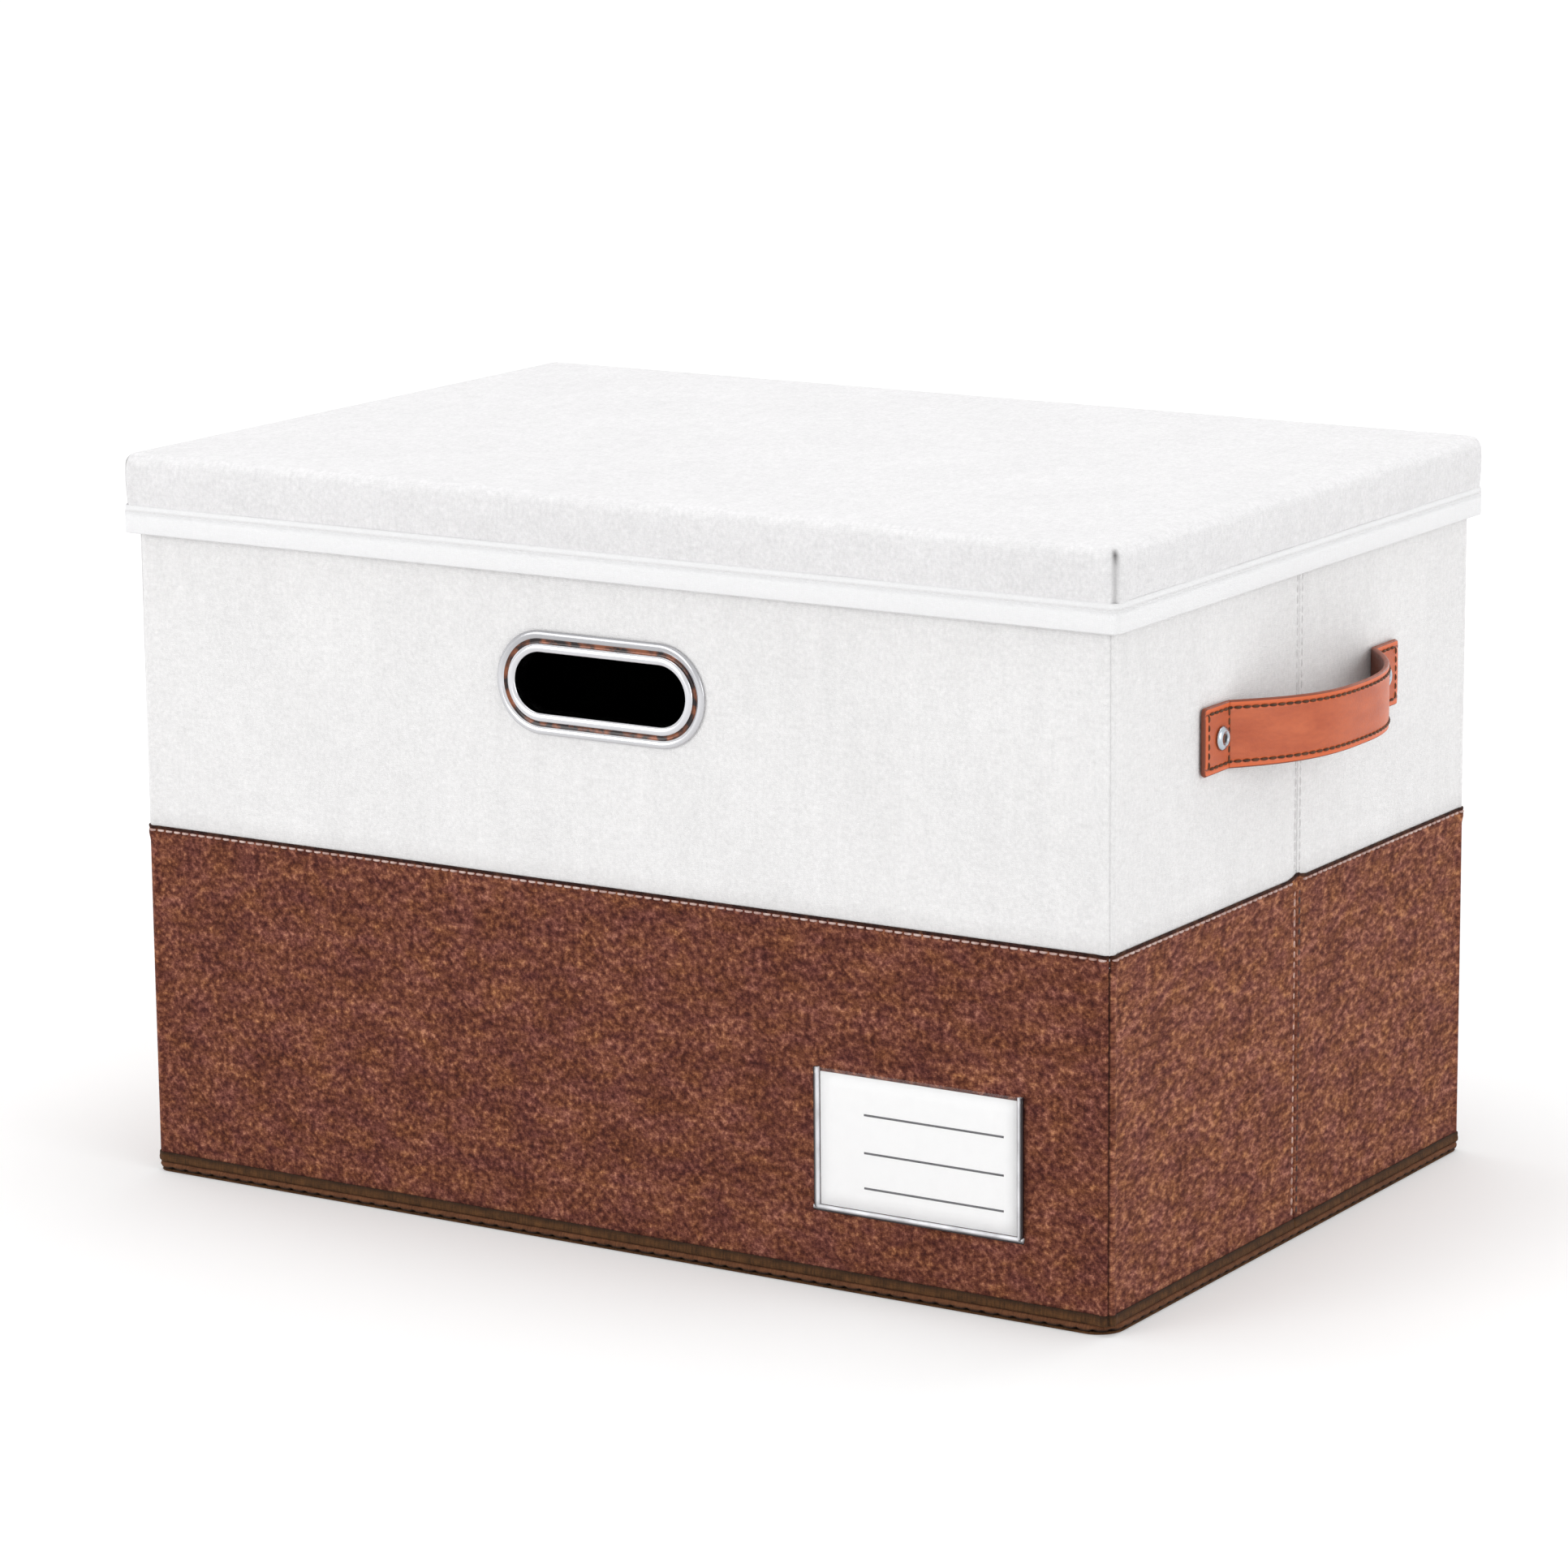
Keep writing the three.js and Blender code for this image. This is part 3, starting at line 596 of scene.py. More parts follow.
# Partly a painted highlight: the front halves' pale row along the seam's folded edge.
SEAM_HIGHLIGHT_THREAD = thread("seam thread", srgb(150, 104, 90), srgb(224, 188, 174))
# Partly painted shade: near-black thread beside the seam on the rear halves.
SEAM_SHADE_THREAD = thread("dull thread", srgb(34, 16, 12), srgb(84, 46, 34))
WHITE_THREAD = thread("white thread", srgb(240, 239, 239), srgb(249, 248, 248))
# Greyer than the white thread: partly painted shade along the white seam.
SEAM_WHITE = thread("white seam thread", srgb(220, 218, 218), srgb(246, 245, 245))
DARK_THREAD = thread("dark thread", srgb(64, 38, 22), srgb(112, 72, 44))
LEATHER = leather("tan leather")
CHROME = metal("polished ring", srgb(214, 214, 217), 0.13)
RIVET = metal("rivet metal", srgb(184, 192, 200), 0.24)
BOARD = cardboard("cardboard")
PAPER = paper("paper card")
INK = ink("ruled lines")
CLEAR = film("clear film", 0.04, srgb(252, 252, 253))
RAIL = film("clear rail", 0.85, srgb(246, 246, 250))


# Stitches

def turns(count):
    return np.linspace(0, 2 * math.pi, count, endpoint=False)


def stitches(line, outs, kind, wide=1.0):
    """Short round threads along a line of points, each sunk at both ends."""
    pitch, length, radius = kind
    sides = 6
    around = turns(sides)
    runs = lengths(line)
    count = max(2, round((runs[-1] - length) / pitch) + 1)
    pitch = (runs[-1] - length) / (count - 1)

    def at(values, s):
        return np.array([np.interp(s, runs, column) for column in np.transpose(values)])

    threads = []
    for k in range(count):
        rows = []
        for share in (-1, -0.75, -0.3, 0.3, 0.75, 1):
            s = k * pitch + (1 + share) * length / 2
            out = at(outs, s)
            along = at(line, s + 0.1 * MM) - at(line, s - 0.1 * MM)
            side = np.cross(out, along / np.linalg.norm(along))
            thin = radius * (1 - 0.6 * share**4)
            point = at(line, s) + out * radius * (0.75 - 1.5 * share**4)
            rows.append([point + thin * (out * math.cos(a) + side * wide * math.sin(a)) for a in around])
        u = np.linspace(0, length, len(rows)) + k * pitch
        threads.append(skin(rows, u, np.linspace(0, 2 * math.pi * radius, sides + 1), tube=True))
    return joined(threads)


def stitch_rows(prefix, cover, start, end, on):
    """The rows of stitches under the brown hem and under the folded rim."""
    rows = (
        ("hem", TWO_TONE - STITCH_DROP, HEM_PROUD - 0.25 * MM, GROOVE_DEPTH, PALE_THREAD, "brown_cloth"),
        ("rim", RIM - RIM_FOLD + 2.5 * MM, -0.3 * MM, SOFT_GROOVE, WHITE_THREAD, "white_cloth"),
    )
    for row, height, proud, groove, finish, slot in rows:
        line, ways = [], []
        for s in np.arange(start, end, 0.5 * MM):
            spot, way = cover.path.at(s)
            out = proud + corner_relief(cover.to_corner(s), groove)
            line.append(spot + way * out + UP * (height + cover.hem_lift(s, height)))
            ways.append(way)
        mesh = stitches(faced(cover.about, line), faced(cover.about, ways), WALL_STITCH)
        piece(f"{prefix}_{row}_stitches", mesh, finish, on)


# Walls

def corner_relief(from_corner, groove):
    """The ridge along a wall's upright edge and the crease beside it."""
    return RIDGE_PROUD * bell(from_corner - 2.6 * MM, 1.5 * MM) - groove * bell(from_corner, 0.55 * MM)


# Painted shade in the crease beside each upright corner.
def corner_shade(from_corner):
    return 0.75 * bell(from_corner, 0.5 * MM)


# Painted shade on the white cloth: faintly in the corner crease, and in a line where it goes under the
# brown hem.
def upper_painted_shade(corner, height):
    return max(0.12 * corner_shade(corner), 0.3 * bell(height - TWO_TONE, 0.5 * MM))


# Painted shade on the brown cloth: in the corner crease, stronger higher up, and a near-black painted
# shadow along the hem's top edge.
def lower_painted_shade(corner, height):
    fade = 0.35 + 0.65 * (height / TWO_TONE)
    return max(corner_shade(corner) * fade, 0.85 if height > TWO_TONE - 1.2 * MM else 0.0)


# Painted shade on the binding strip: in the corner crease, and a painted shadow along its top edge under
# the brown cloth.
def binding_painted_shade(corner, height):
    return max(0.6 * corner_shade(corner), 0.7 * bell(height - BINDING_TOP, 1.3 * MM))


class Cover:
    """One wall's outer cloth: its path, whether it is turned about, which ends of the path are
    creased, the axis that crosses the wall, and where along the path the middle seam is."""

    def __init__(self, path, about, creased, axis, seam=None):
        self.path = path
        self.about = about
        self.creased = creased
        self.axis = axis
        self.seam = seam

    def to_corner(self, s):
        return min([self.path.length - s if end else s for end in self.creased], default=1.0)

    def hem_lift(self, s, height):
        """How far the hem's cloth stands higher beside the middle seam."""
        share = (height - TWO_TONE + HEM_HEIGHT) / HEM_HEIGHT
        if self.seam is None or share < 0 or height > TWO_TONE:
            return 0.0
        return HEM_PEAK * bell(s - self.seam, 2.4 * MM) * share

    def cloth(self, stations, columns, dark, drop=None):
        """The cloth over columns of (share inwards, height, proud), with the shade that dark paints on it.
        """
        upper = dark is upper_painted_shade
        rows, shade = [], []
        for s in stations:
            point, way = self.path.at(s)
            relief = corner_relief(self.to_corner(s), SOFT_GROOVE if upper else GROOVE_DEPTH)
            inside = point.copy()
            inside[self.axis] = INNER_FACE[self.axis]
            row = []
            for share, height, proud in columns:
                climb = height if upper else height + self.hem_lift(s, height)
                spot = point + way * (proud + relief) + (inside - point) * share + UP * climb
                wave = ripple(spot * np.array([1, 1, 0.45]), 42 * MM, 0.3 * MM)
                row.append(spot + way * wave * (1 - share))
            rows.append(row)
            shade.append([dark(self.to_corner(s), height) for _, height, _ in columns])
        climbs = lengths([(share * WALL, height) for share, height, _ in columns])
        return skin(faced(self.about, rows), stations, climbs, shade, drop=drop)


def upper_columns():
    """From under the brown hem, up the face, over the rim and down inside."""
    turn = RIM - RIM_RADIUS
    columns = [(0, TWO_TONE + z, -0.25 * MM) for z in (-5 * MM, -0.5 * MM)]
    columns += [(0, z, -0.15 * MM) for z in between(TWO_TONE + 0.5 * MM, turn, 7 * MM)]
    for angle in np.linspace(0, QUARTER, 6)[1:]:
        columns.append((0.26 * (1 - math.cos(angle)), turn + RIM_RADIUS * math.sin(angle), -0.15 * MM))
    for angle in np.linspace(0, QUARTER, 6)[:-1]:
        columns.append((1 - 0.26 * (1 - math.sin(angle)), turn + RIM_RADIUS * math.cos(angle), 0))
    return columns + [(1, z, 0) for z in between(turn, RIM - RIM_FOLD, 3 * MM)]


def lower_columns():
    """From behind the bottom binding, up the face and round the folded top edge."""
    hem = TWO_TONE - HEM_HEIGHT
    columns = [(0, z, 0.0) for z in between(BINDING_TOP - 3 * MM, hem, STEP)]
    for z in between(hem + 0.6 * MM, TWO_TONE - 0.5 * MM, 0.5 * MM):
        pinch = 0.28 * MM * bell(z - TWO_TONE + STITCH_DROP, 0.5 * MM)
        columns.append((0, z, HEM_PROUD * min(1.0, (z - hem) / (3 * MM)) - pinch))
    edge = ((-0.15 * MM, HEM_PROUD - 0.15 * MM), (0, HEM_PROUD - 0.5 * MM), (-0.1 * MM, 0.0))
    return columns + [(0, TWO_TONE + z, proud) for z, proud in edge]


def binding_columns():
    """The folded strip round a wall's bottom edge, from figures in mm."""
    fold = ((0.3, -0.1, 0), (0.02, 0, 0.3), (0, 0.6, 0.65), (0, 1.6, 0.7))
    edge = ((-1.5, 0.5), (-1.0, 0.55), (-0.35, 0.5), (0, 0.3), (-0.1, 0))
    columns = [(share, WALL_BASE + z * MM, proud * MM) for share, z, proud in fold]
    return columns + [(0, BINDING_TOP + z * MM, proud * MM) for z, proud in edge]


def wall_cloths(brown):
    """The outer cloths of a wall: piece, columns, painted shade, finish, slot and the solid replaced."""
    return (
        ("upper_cloth", upper_columns(), upper_painted_shade, WHITE, "white_cloth", "upper_cover"),
        ("lower_cloth", lower_columns(), lower_painted_shade, brown, "brown_cloth", "lower_cover"),
        ("binding_strip", binding_columns(), binding_painted_shade, BINDING, "dark_binding", "bottom_binding"),
    )


def grip_line():
    """The middle height of the grip, half its straight length and its outer radius."""
    lows, highs = BOXES["grip_outer_ring"]
    radius = (highs[2] - lows[2]) / 2
    return (highs[2] + lows[2]) / 2, highs[0] - radius, radius


def open_for_grip(surface, radius):
    """Takes the cloth away round the grip's hole, with the edge drawn to an even oval."""
    points, faces, marks, shade = surface
    middle, straight, _ = grip_line()
    stems = np.clip(points[:, 0], -straight, straight)
    reach = np.hypot(points[:, 0] - stems, points[:, 2] - middle)
    inside = [np.mean(reach[list(face)]) < radius for face in faces]
    gone = {c for face, away in zip(faces, inside) if away for c in face}
    kept = [k for k, away in enumerate(inside) if not away]
    edge = np.array(sorted(gone & {c for k in kept for c in faces[k]}))
    pull = radius / reach[edge]
    points = points.copy()
    points[edge, 0] = stems[edge] + (points[edge, 0] - stems[edge]) * pull
    points[edge, 2] = middle + (points[edge, 2] - middle) * pull
    return points, [faces[k] for k in kept], [marks[k] for k in kept], shade


def finer_for_grip(columns):
    """The same columns with more of them on the face beside the grip."""
    start, end = (corner[2] for corner in BOXES["grip_outer_ring"])
    face = [c for c in columns if c[0] == 0 and not start - GRIP_STEP < c[1] < end + GRIP_STEP]
    added = [(0, z, -0.15 * MM) for z in between(start - GRIP_STEP / 2, end + GRIP_STEP / 2, GRIP_STEP)]
    return sorted(face + added, key=lambda c: c[1]) + [c for c in columns if c[0] != 0]


def long_walls():
    length = long_path.length
    ends = [long_path.fine(end, CORNER_SPAN, 0.4 * MM) for end in (0, 1)]
    for prefix, body, about in LONG_WALLS:
        cover = Cover(long_path, about, (0, 1), 1)
        for part, columns, dark, finish, slot, node in wall_cloths(BROWN):
            fine = ends
            gripped = prefix == "front" and dark is upper_painted_shade
            if gripped:
                fine = [(length / 2 - GRIP_SPAN, length / 2 + GRIP_SPAN, GRIP_STEP), *ends]
                columns = finer_for_grip(columns)
            mesh = cover.cloth(spread(length, STEP, *fine), columns, dark)
            if gripped:
                mesh = open_for_grip(mesh, 16 * MM)
            piece(f"{prefix}_{part}", mesh, finish, body, CLOTH, f"{prefix}_{node}")
        stitch_rows(prefix, cover, ROW_END, length - ROW_END, body)


def half_walls():
    for prefix, body, corner_body, rear, about in HALF_WALLS:
        on = corner_bend(body, corner_body, rear, about) if corner_body else body
        path = half_path(rear, HALF_Y if corner_body else LIP_Y - 0.3 * MM)
        length = path.length
        end = 1 if rear else 0
        seam = TURN_IN if rear else length - TURN_IN
        cover = Cover(path, about, (end,) if corner_body else (), 0, seam)
        fine = (path.fine(end, CORNER_SPAN, 0.35 * MM), path.fine(1 - end, SEAM_SPAN, 0.3 * MM))
        stations = spread(length, STEP, *fine)
        rim_from = next(k for k, column in enumerate(upper_columns()) if column[0] > 0)

        def beyond_lip(i, j):
            point = path.at((stations[i] + stations[i + 1]) / 2)[0]
            return j >= rim_from and abs(point[1]) > LIP_Y

        for part, columns, dark, finish, slot, node in wall_cloths(SIDE_BROWN):
            mesh = cover.cloth(stations, columns, dark, beyond_lip if dark is upper_painted_shade else None)
            piece(f"{prefix}_{part}", mesh, finish, on, CLOTH, f"{prefix}_{node}")
        if rear:
            stitch_rows(prefix, cover, TURN_IN + SEAM_ROW_END, length - ROW_END, on)
            seam_stitches(prefix, body, *path.at(TURN_IN + 1.2 * MM), about, SEAM_SHADE_THREAD)
        else:
            stitch_rows(prefix, cover, ROW_END, length - TURN_IN - SEAM_ROW_END, on)
            seam_stitches(prefix, body, *path.at(length - TURN_IN - 0.9 * MM), about, SEAM_HIGHLIGHT_THREAD)


def seam_stitches(prefix, body, spot, way, about, brown_thread):
    """The upright rows beside the middle seam, in the brown and in the white cloth; their threads are
    partly painted highlight and painted shade.
    """
    rows = (
        ("brown", BINDING_TOP + 1 * MM, TWO_TONE - 3.5 * MM, -0.42 * MM, brown_thread, 2.2),
        ("white", TWO_TONE + 1.5 * MM, RIM - RIM_FOLD, -0.38 * MM, SEAM_WHITE, 1.2),
    )
    for row, start, end, proud, finish, wide in rows:
        line = faced(about, [spot + UP * z + way * proud for z in between(start, end, 2 * MM)])
        mesh = stitches(line, faced(about, [way] * len(line)), SEAM_STITCH, wide)
        piece(f"{prefix}_{row}_seam_stitches", mesh, finish, body)


def left_front_corner():
    """The strip of cloth round the corner whose pivot is open, from its crease to the half wall."""
    path = Path((HALF_X, LIP_Y, HALF_X, BEND_Y), (BEND_X, BEND_Y, EDGE_RADIUS, 0, QUARTER / 2))
    cover = Cover(path, True, (1,), 0)
    for part, columns, dark, finish, slot, _ in wall_cloths(SIDE_BROWN):
        if dark is upper_painted_shade:
            columns = [column for column in columns if column[0] == 0]
        mesh = cover.cloth(spread(path.length, 0.4 * MM), columns, dark)
        piece(f"left_front_{part.split('_')[0]}_corner", mesh, finish, "front_wall", CLOTH)


def lining(prefix, body, about, ends, heights, *fine):
    """The dark cloth on the inner side of a wall, between ends (x0, y0, x1, y1)."""
    path = Path(ends)
    stations = spread(path.length, 8 * MM, *fine)
    rows = []
    for s in stations:
        spot, way = path.at(s)
        waves = [ripple((*spot[:2], z), 60 * MM, 0.12 * MM) for z in heights]
        rows.append([spot + UP * z + abs(way) * wave for z, wave in zip(heights, waves)])
    mesh = skin(faced(about, rows), stations, heights)
    if prefix == "front":
        mesh = open_for_grip(mesh, 15 * MM)
    piece(f"{prefix}_lining_cloth", mesh, LINING, body, CLOTH, f"{prefix}_lining")


def linings():
    """The linings of all walls, with the points closer where the grip is."""
    heights = between(WALL_BASE + 0.2 * MM, RIM - RIM_FOLD + 1.5 * MM, 8 * MM)
    tall = sorted({*heights, *between(202 * MM, 250 * MM, GRIP_STEP)})
    x_end = high("back_lining")[0]
    for prefix, body, about in LONG_WALLS:
        fine = (x_end - 56 * MM, x_end + 56 * MM, GRIP_STEP)
        lining(prefix, body, about, (x_end, LINING_FACE, -x_end, LINING_FACE), tall, fine)
    x = INNER_FACE[0]
    start, end = (-corner[1] for corner in BOXES["right_front_lining"])
    for prefix, body, _, rear, about in HALF_WALLS:
        lining(prefix, body, about, (x, start, x, end) if rear else (x, -end, x, -start), heights)


def seam_tapes():
    """The strip inside each middle seam."""
    x = INNER_FACE[0] - 0.75 * MM
    half_width = 7 * MM
    path = Path((x, half_width, x, -half_width))
    stations = spread(path.length, 0.5 * MM)
    heights = between(WALL_BASE + 0.6 * MM, RIM - RIM_FOLD + 1.5 * MM, STEP)
    rows = [[path.at(s)[0] + UP * z for z in heights] for s in stations]
    ends = [[x, 1.6 * MM, 0.1], [x, -1.6 * MM, 0.1]]
    for side, about in SIDES:
        bodies = [f"{side}_rear_half", f"{side}_front_half"][:: -1 if about else 1]
        start, end = faced(about, ends)
        mesh = skin(faced(about, rows), stations, heights)
        on = (*bodies, tuple(start), tuple(end))
        piece(f"{side}_seam_tape", mesh, LINING, on, 0.4 * MM)


# Shapes round a rounded rectangle

def ring_points(half_x, half_y, radii, long_steps=60, short_steps=40, arc_steps=16):
    """Points and outward ways round a rounded rectangle, and how far each is from its corner's middle."""
    points, ways, gaps = [], [], []
    signs = ((1, 1), (-1, 1), (-1, -1), (1, -1))
    centres = [np.array([x * (half_x - r), y * (half_y - r), 0]) for (x, y), r in zip(signs, radii)]
    for k, (centre, radius) in enumerate(zip(centres, radii)):
        for angle in QUARTER * (k + np.arange(arc_steps + 1) / arc_steps):
            way = np.array([math.cos(angle), math.sin(angle), 0])
            points.append(centre + radius * way)
            ways.append(way)
            gaps.append(abs(angle - QUARTER * (k + 0.5)) * radius)
        ahead = (k + 1) % 4
        start, end = points[-1], centres[ahead] + radii[ahead] * way
        steps = long_steps if k % 2 == 0 else short_steps
        points += [start + (end - start) * i / steps for i in range(1, steps)]
        ways += [way] * (steps - 1)
        gaps += [1.0] * (steps - 1)
    return np.array(points), np.array(ways), np.array(gaps)


def box_shell(half_x, half_y, bottom, top, corner, edge, side_step,
              centre=(0, 0, 0), relief=None, crown=0.0, dark=None, top_ripple=0.0):
    """A box without a floor: sides, a soft top edge and a top drawn in ring by ring."""
    levels = [(0.0, z, True) for z in between(bottom, top - edge, side_step)]
    for k, angle in enumerate(np.linspace(0, QUARTER, 7)[1:]):
        levels.append((edge * (1 - math.cos(angle)), top - edge * (1 - math.sin(angle)), k < 3))
    inset = edge
    while inset + 8 * MM < half_y - 2 * MM:
        inset += min(8 * MM, inset)
        levels.append((inset, top, False))
    cols, shade = [], []
    for depth, z, side in levels:
        radii = [max(corner - depth, corner * 0.4)] * 4
        share = limited(depth / (30 * MM))
        spots, tones = [], []
        for point, way, gap in zip(*ring_points(half_x - depth, half_y - depth, radii)):
            spot = point + UP * z
            if relief:
                spot = spot + way * relief(gap, z, point, side)
            if not side:
                spot = spot + UP * share * (crown + ripple(spot, 70 * MM, top_ripple))
            spots.append(spot + np.array(centre))
            tones.append(dark(gap, z, side) if dark else 0.0)
        cols.append(spots)
        shade.append(tones)
    grid = np.swapaxes(cols, 0, 1)
    runs = lengths(grid[:, 0], closed=True)
    surface = skin(grid, runs, [z for _, z, _ in levels], np.transpose(shade), ring=True, lids=(-1,))
    return flat_marks(surface)


def flat_marks(surface):
    """Gives faces that lie level the cloth coordinates of a flat sheet."""
    points, faces, marks, shade = surface
    for k, face in enumerate(faces):
        a, b, c, d = points[list(face[:4])]
        facing = np.cross(c - a, d - b)
        if len(face) > 4 or abs(facing[2]) > 0.72 * np.linalg.norm(facing):
            marks[k] = points[list(face)][:, :2].tolist()
    return points, faces, marks, shade


def swept(points, ways, section, shade, rise=UP, dent=None, runs=None, tube=True, **ends):
    """A section of (outwards, along rise) pairs carried round a ring of points.
    dent lifts each point by a height from its run along the ring and its shade."""
    runs = lengths(points, closed=True) if runs is None else runs
    rows = []
    for point, way, run in zip(points, ways, runs):
        lifts = [dent(run, tone) for tone in shade] if dent else [0.0] * len(section)
        rows.append([point + way * out + rise * (z + lift) for (out, z), lift in zip(section, lifts)])
    shade = np.broadcast_to(shade, (len(rows), len(section)))
    return skin(rows, runs, lengths(section, closed=tube), shade, ring=True, tube=tube, **ends)


# Lid

LID_X, LID_Y, LID_TOP = high("lid_cover")
TAPE_X, TAPE_Y, _ = high("lid_binding_tape")
TAPE_LOW = low("lid_binding_tape")[2]
TAPE_WIDTH = 11.6 * MM
TAPE_TOP = TAPE_LOW + TAPE_WIDTH
TAPE_SEAM = 2.4 * MM
LID_CORNER = 3.2 * MM
LID_EDGE = 4.6 * MM
TAPE_CORNERS = [LID_CORNER + 0.4 * MM] * 4


def below_edge(z):
    """1 down the skirt's corner seams, fading to 0 just under the top edge."""
    return limited((LID_TOP - 0.6 * MM - z) / (2.4 * MM))


def lid_relief(gap, z, point, side):
    """A skirt that swells in the middle and is drawn in at the tape and at the corner seams."""
    height = (z - TAPE_TOP) / (LID_TOP - TAPE_TOP)
    swell = 0.7 * MM * math.sin(math.pi * limited(height)) - 0.1 * MM * bell(height, 0.25)
    seam = 0.35 * MM * bell(gap - 2.7 * MM, 0.8 * MM) - 0.8 * MM * bell(gap, 1.2 * MM)
    wave = ripple((*point[:2], z), 45 * MM, 0.35 * MM) * (1 if side else 0.3)
    return swell + seam * below_edge(z) + wave


# Painted shade down the skirt's corner slits, darker towards the top edge, and a faint painted shade on the
# whole skirt.
def lid_painted_shade(gap, z, side):
    tone = 0.36 + 0.5 * limited((z - LID_TOP + 6.5 * MM) / (3 * MM))
    return max(tone * bell(gap, 1.2 * MM) * below_edge(z), 0.02 if side else 0.0)


def lid():
    mesh = box_shell(LID_X, LID_Y, low("lid_cover")[2], LID_TOP, LID_CORNER, LID_EDGE, 3 * MM,
                     relief=lid_relief, crown=-0.1 * MM, dark=lid_painted_shade, top_ripple=0.35 * MM)
    piece("lid_cloth", mesh, LID_WHITE, "lid", 0.5 * MM, "lid_cover")

    half_x, half_y, top = high("lid_lining")
    mesh = box_shell(half_x, half_y, low("lid_lining")[2], top, 1.2 * MM, 0.8 * MM, 9 * MM)
    piece("lid_lining_cloth", mesh, LINING, "lid", THIN_CLOTH, "lid_lining")

    # The tape's section in mm: outwards, height over its lower or its upper edge, and painted shade, at its
    # lower edge, its stitch groove and its rolled top edge
    foot = -3.2
    lower = (
        (foot, 0, 0.25), (-0.7, 0, 0.16), (-0.2, 0.15, 0.08), (0, 0.6, 0),
        (0.08, 3, 0), (0.08, 6, 0), (0.05, 8.4, 0),
    )
    upper = (
        (0, -3.2, 0), (-0.22, -2.4, 0.14), (0, -1.6, 0), (-0.2, -0.6, 0.04),
        (-0.55, -0.1, 0.12), (-0.85, 0, 0.2), (-0.9, -0.6, 0),
    )
    back = ((-0.7, 0.8, 0), (foot, 0.6, 0))
    figures = [(out, TAPE_LOW, z, tone) for out, z, tone in lower]
    figures += [(out, TAPE_TOP, z, tone) for out, z, tone in upper]
    figures += [(out, TAPE_LOW, z, tone) for out, z, tone in back]
    section = [(out * MM, edge + z * MM) for out, edge, z, _ in figures]
    points, ways, _ = ring_points(TAPE_X, TAPE_Y, TAPE_CORNERS)
    mesh = swept(points, ways, section, [tone for *_, tone in figures])
    piece("lid_tape", mesh, TAPE_WHITE, "lid", node="lid_binding_tape")

    points, ways, _ = ring_points(TAPE_X, TAPE_Y, TAPE_CORNERS, 200, 140, 8)
    line = points + UP * (TAPE_TOP - TAPE_SEAM) - ways * 0.25 * MM
    mesh = stitches(np.vstack([line, line[:1]]), np.vstack([ways, ways[:1]]), TAPE_STITCH)
    piece("lid_tape_stitches", mesh, WHITE_THREAD, "lid")


# Bottom

BASE_X, BASE_Y, BASE_TOP = high("base_cloth")
BASE_CORNERS = np.array([5, 5, 5, 11]) * MM
WHIP_PITCH = 6.8 * MM
WHIP_DENT = 0.9 * MM


def whipped(run, tone):
    """The dents that the overcast stitches leave along the piping's lower side."""
    return WHIP_DENT * tone * (0.5 - 0.5 * math.cos(2 * math.pi * run / WHIP_PITCH)) ** 3


def base():
    """The cloth under the box and the whipped piping round it."""
    floor_z = low("base_cloth")[2]
    levels = [
        (1.0 * MM, floor_z), (0.3 * MM, floor_z + 0.1 * MM), (0.0, floor_z + 0.5 * MM),
        (0.3 * MM, BASE_TOP - 0.1 * MM), (1.0 * MM, BASE_TOP),
    ]
    cols = [ring_points(BASE_X - r, BASE_Y - r, BASE_CORNERS - r)[0] + UP * z for r, z in levels]
    grid = np.swapaxes(cols, 0, 1)
    runs = lengths(grid[:, 0], closed=True)
    mesh = skin(grid, runs, [z for _, z in levels], ring=True, lids=(-1, 0))
    sheet = piece("base_cloth_sheet", mesh, BINDING, "back_wall", node="base_cloth")

    roll_low, roll_high = (corner[2] for corner in BOXES["base_edge_binding"])
    middle = (roll_low + roll_high) / 2
    roll = (roll_high - roll_low) / 2 + 0.2 * MM
    section, shade = [], []
    for angle in turns(12) - math.pi:
        section.append((-0.6 * MM + 1.35 * MM * math.cos(angle), middle + roll * math.sin(angle)))
        # Painted shade on the piping's lower side.
        shade.append(min(0.95, max(0.0, 0.1 - 1.4 * math.sin(angle))))
    points, ways, _ = ring_points(BASE_X, BASE_Y, BASE_CORNERS, 420, 280)
    mesh = swept(points, ways, section, shade, dent=whipped)
    piping = piece("base_piping", mesh, PIPING, "back_wall", node="base_edge_binding")
    for obj in (sheet, piping):
        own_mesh(obj)


def bottom_board():
    lows, highs = BOXES["bottom_board_cloth"]
    half_x, half_y, _ = (highs - lows) / 2
    mesh = box_shell(half_x, half_y, lows[2], highs[2], 6 * MM, 0.9 * MM, 1 * MM,
                     centre=(0, (highs[1] + lows[1]) / 2, 0))
    piece("bottom_board_cover", mesh, LINING, "bottom_board", THIN_CLOTH,
          "bottom_board_cloth")


# Metal grip and rivets

def grip_ring(name, section, hole, node):
    """A metal ring in the front wall, its oval clockwise seen from the front. section is (out from
    the hole, y, shade); where the shade is slight, painted shade is added on the upper side, which makes it
    greyer and duller there."""
    middle, straight, _ = grip_line()
    points, ways = [], []
    for side in (1, -1):
        for angle in side * QUARTER - np.linspace(0, math.pi, 41):
            way = np.array([math.cos(angle), 0, math.sin(angle)])
            points.append(np.array([side * straight, 0, middle]) + hole * way)
            ways.append(way)
    # Painted shade on the upper side of the lightly shaded places.
    shade = [[s + 0.3 * max(0.0, way[2]) * (0 < s < 0.2) for *_, s in section] for way in ways]
    mesh = swept(points, ways, [row[:2] for row in section], shade, rise=np.array([0, 1, 0]))
    piece(name, mesh, CHROME, "front_wall", node=node)


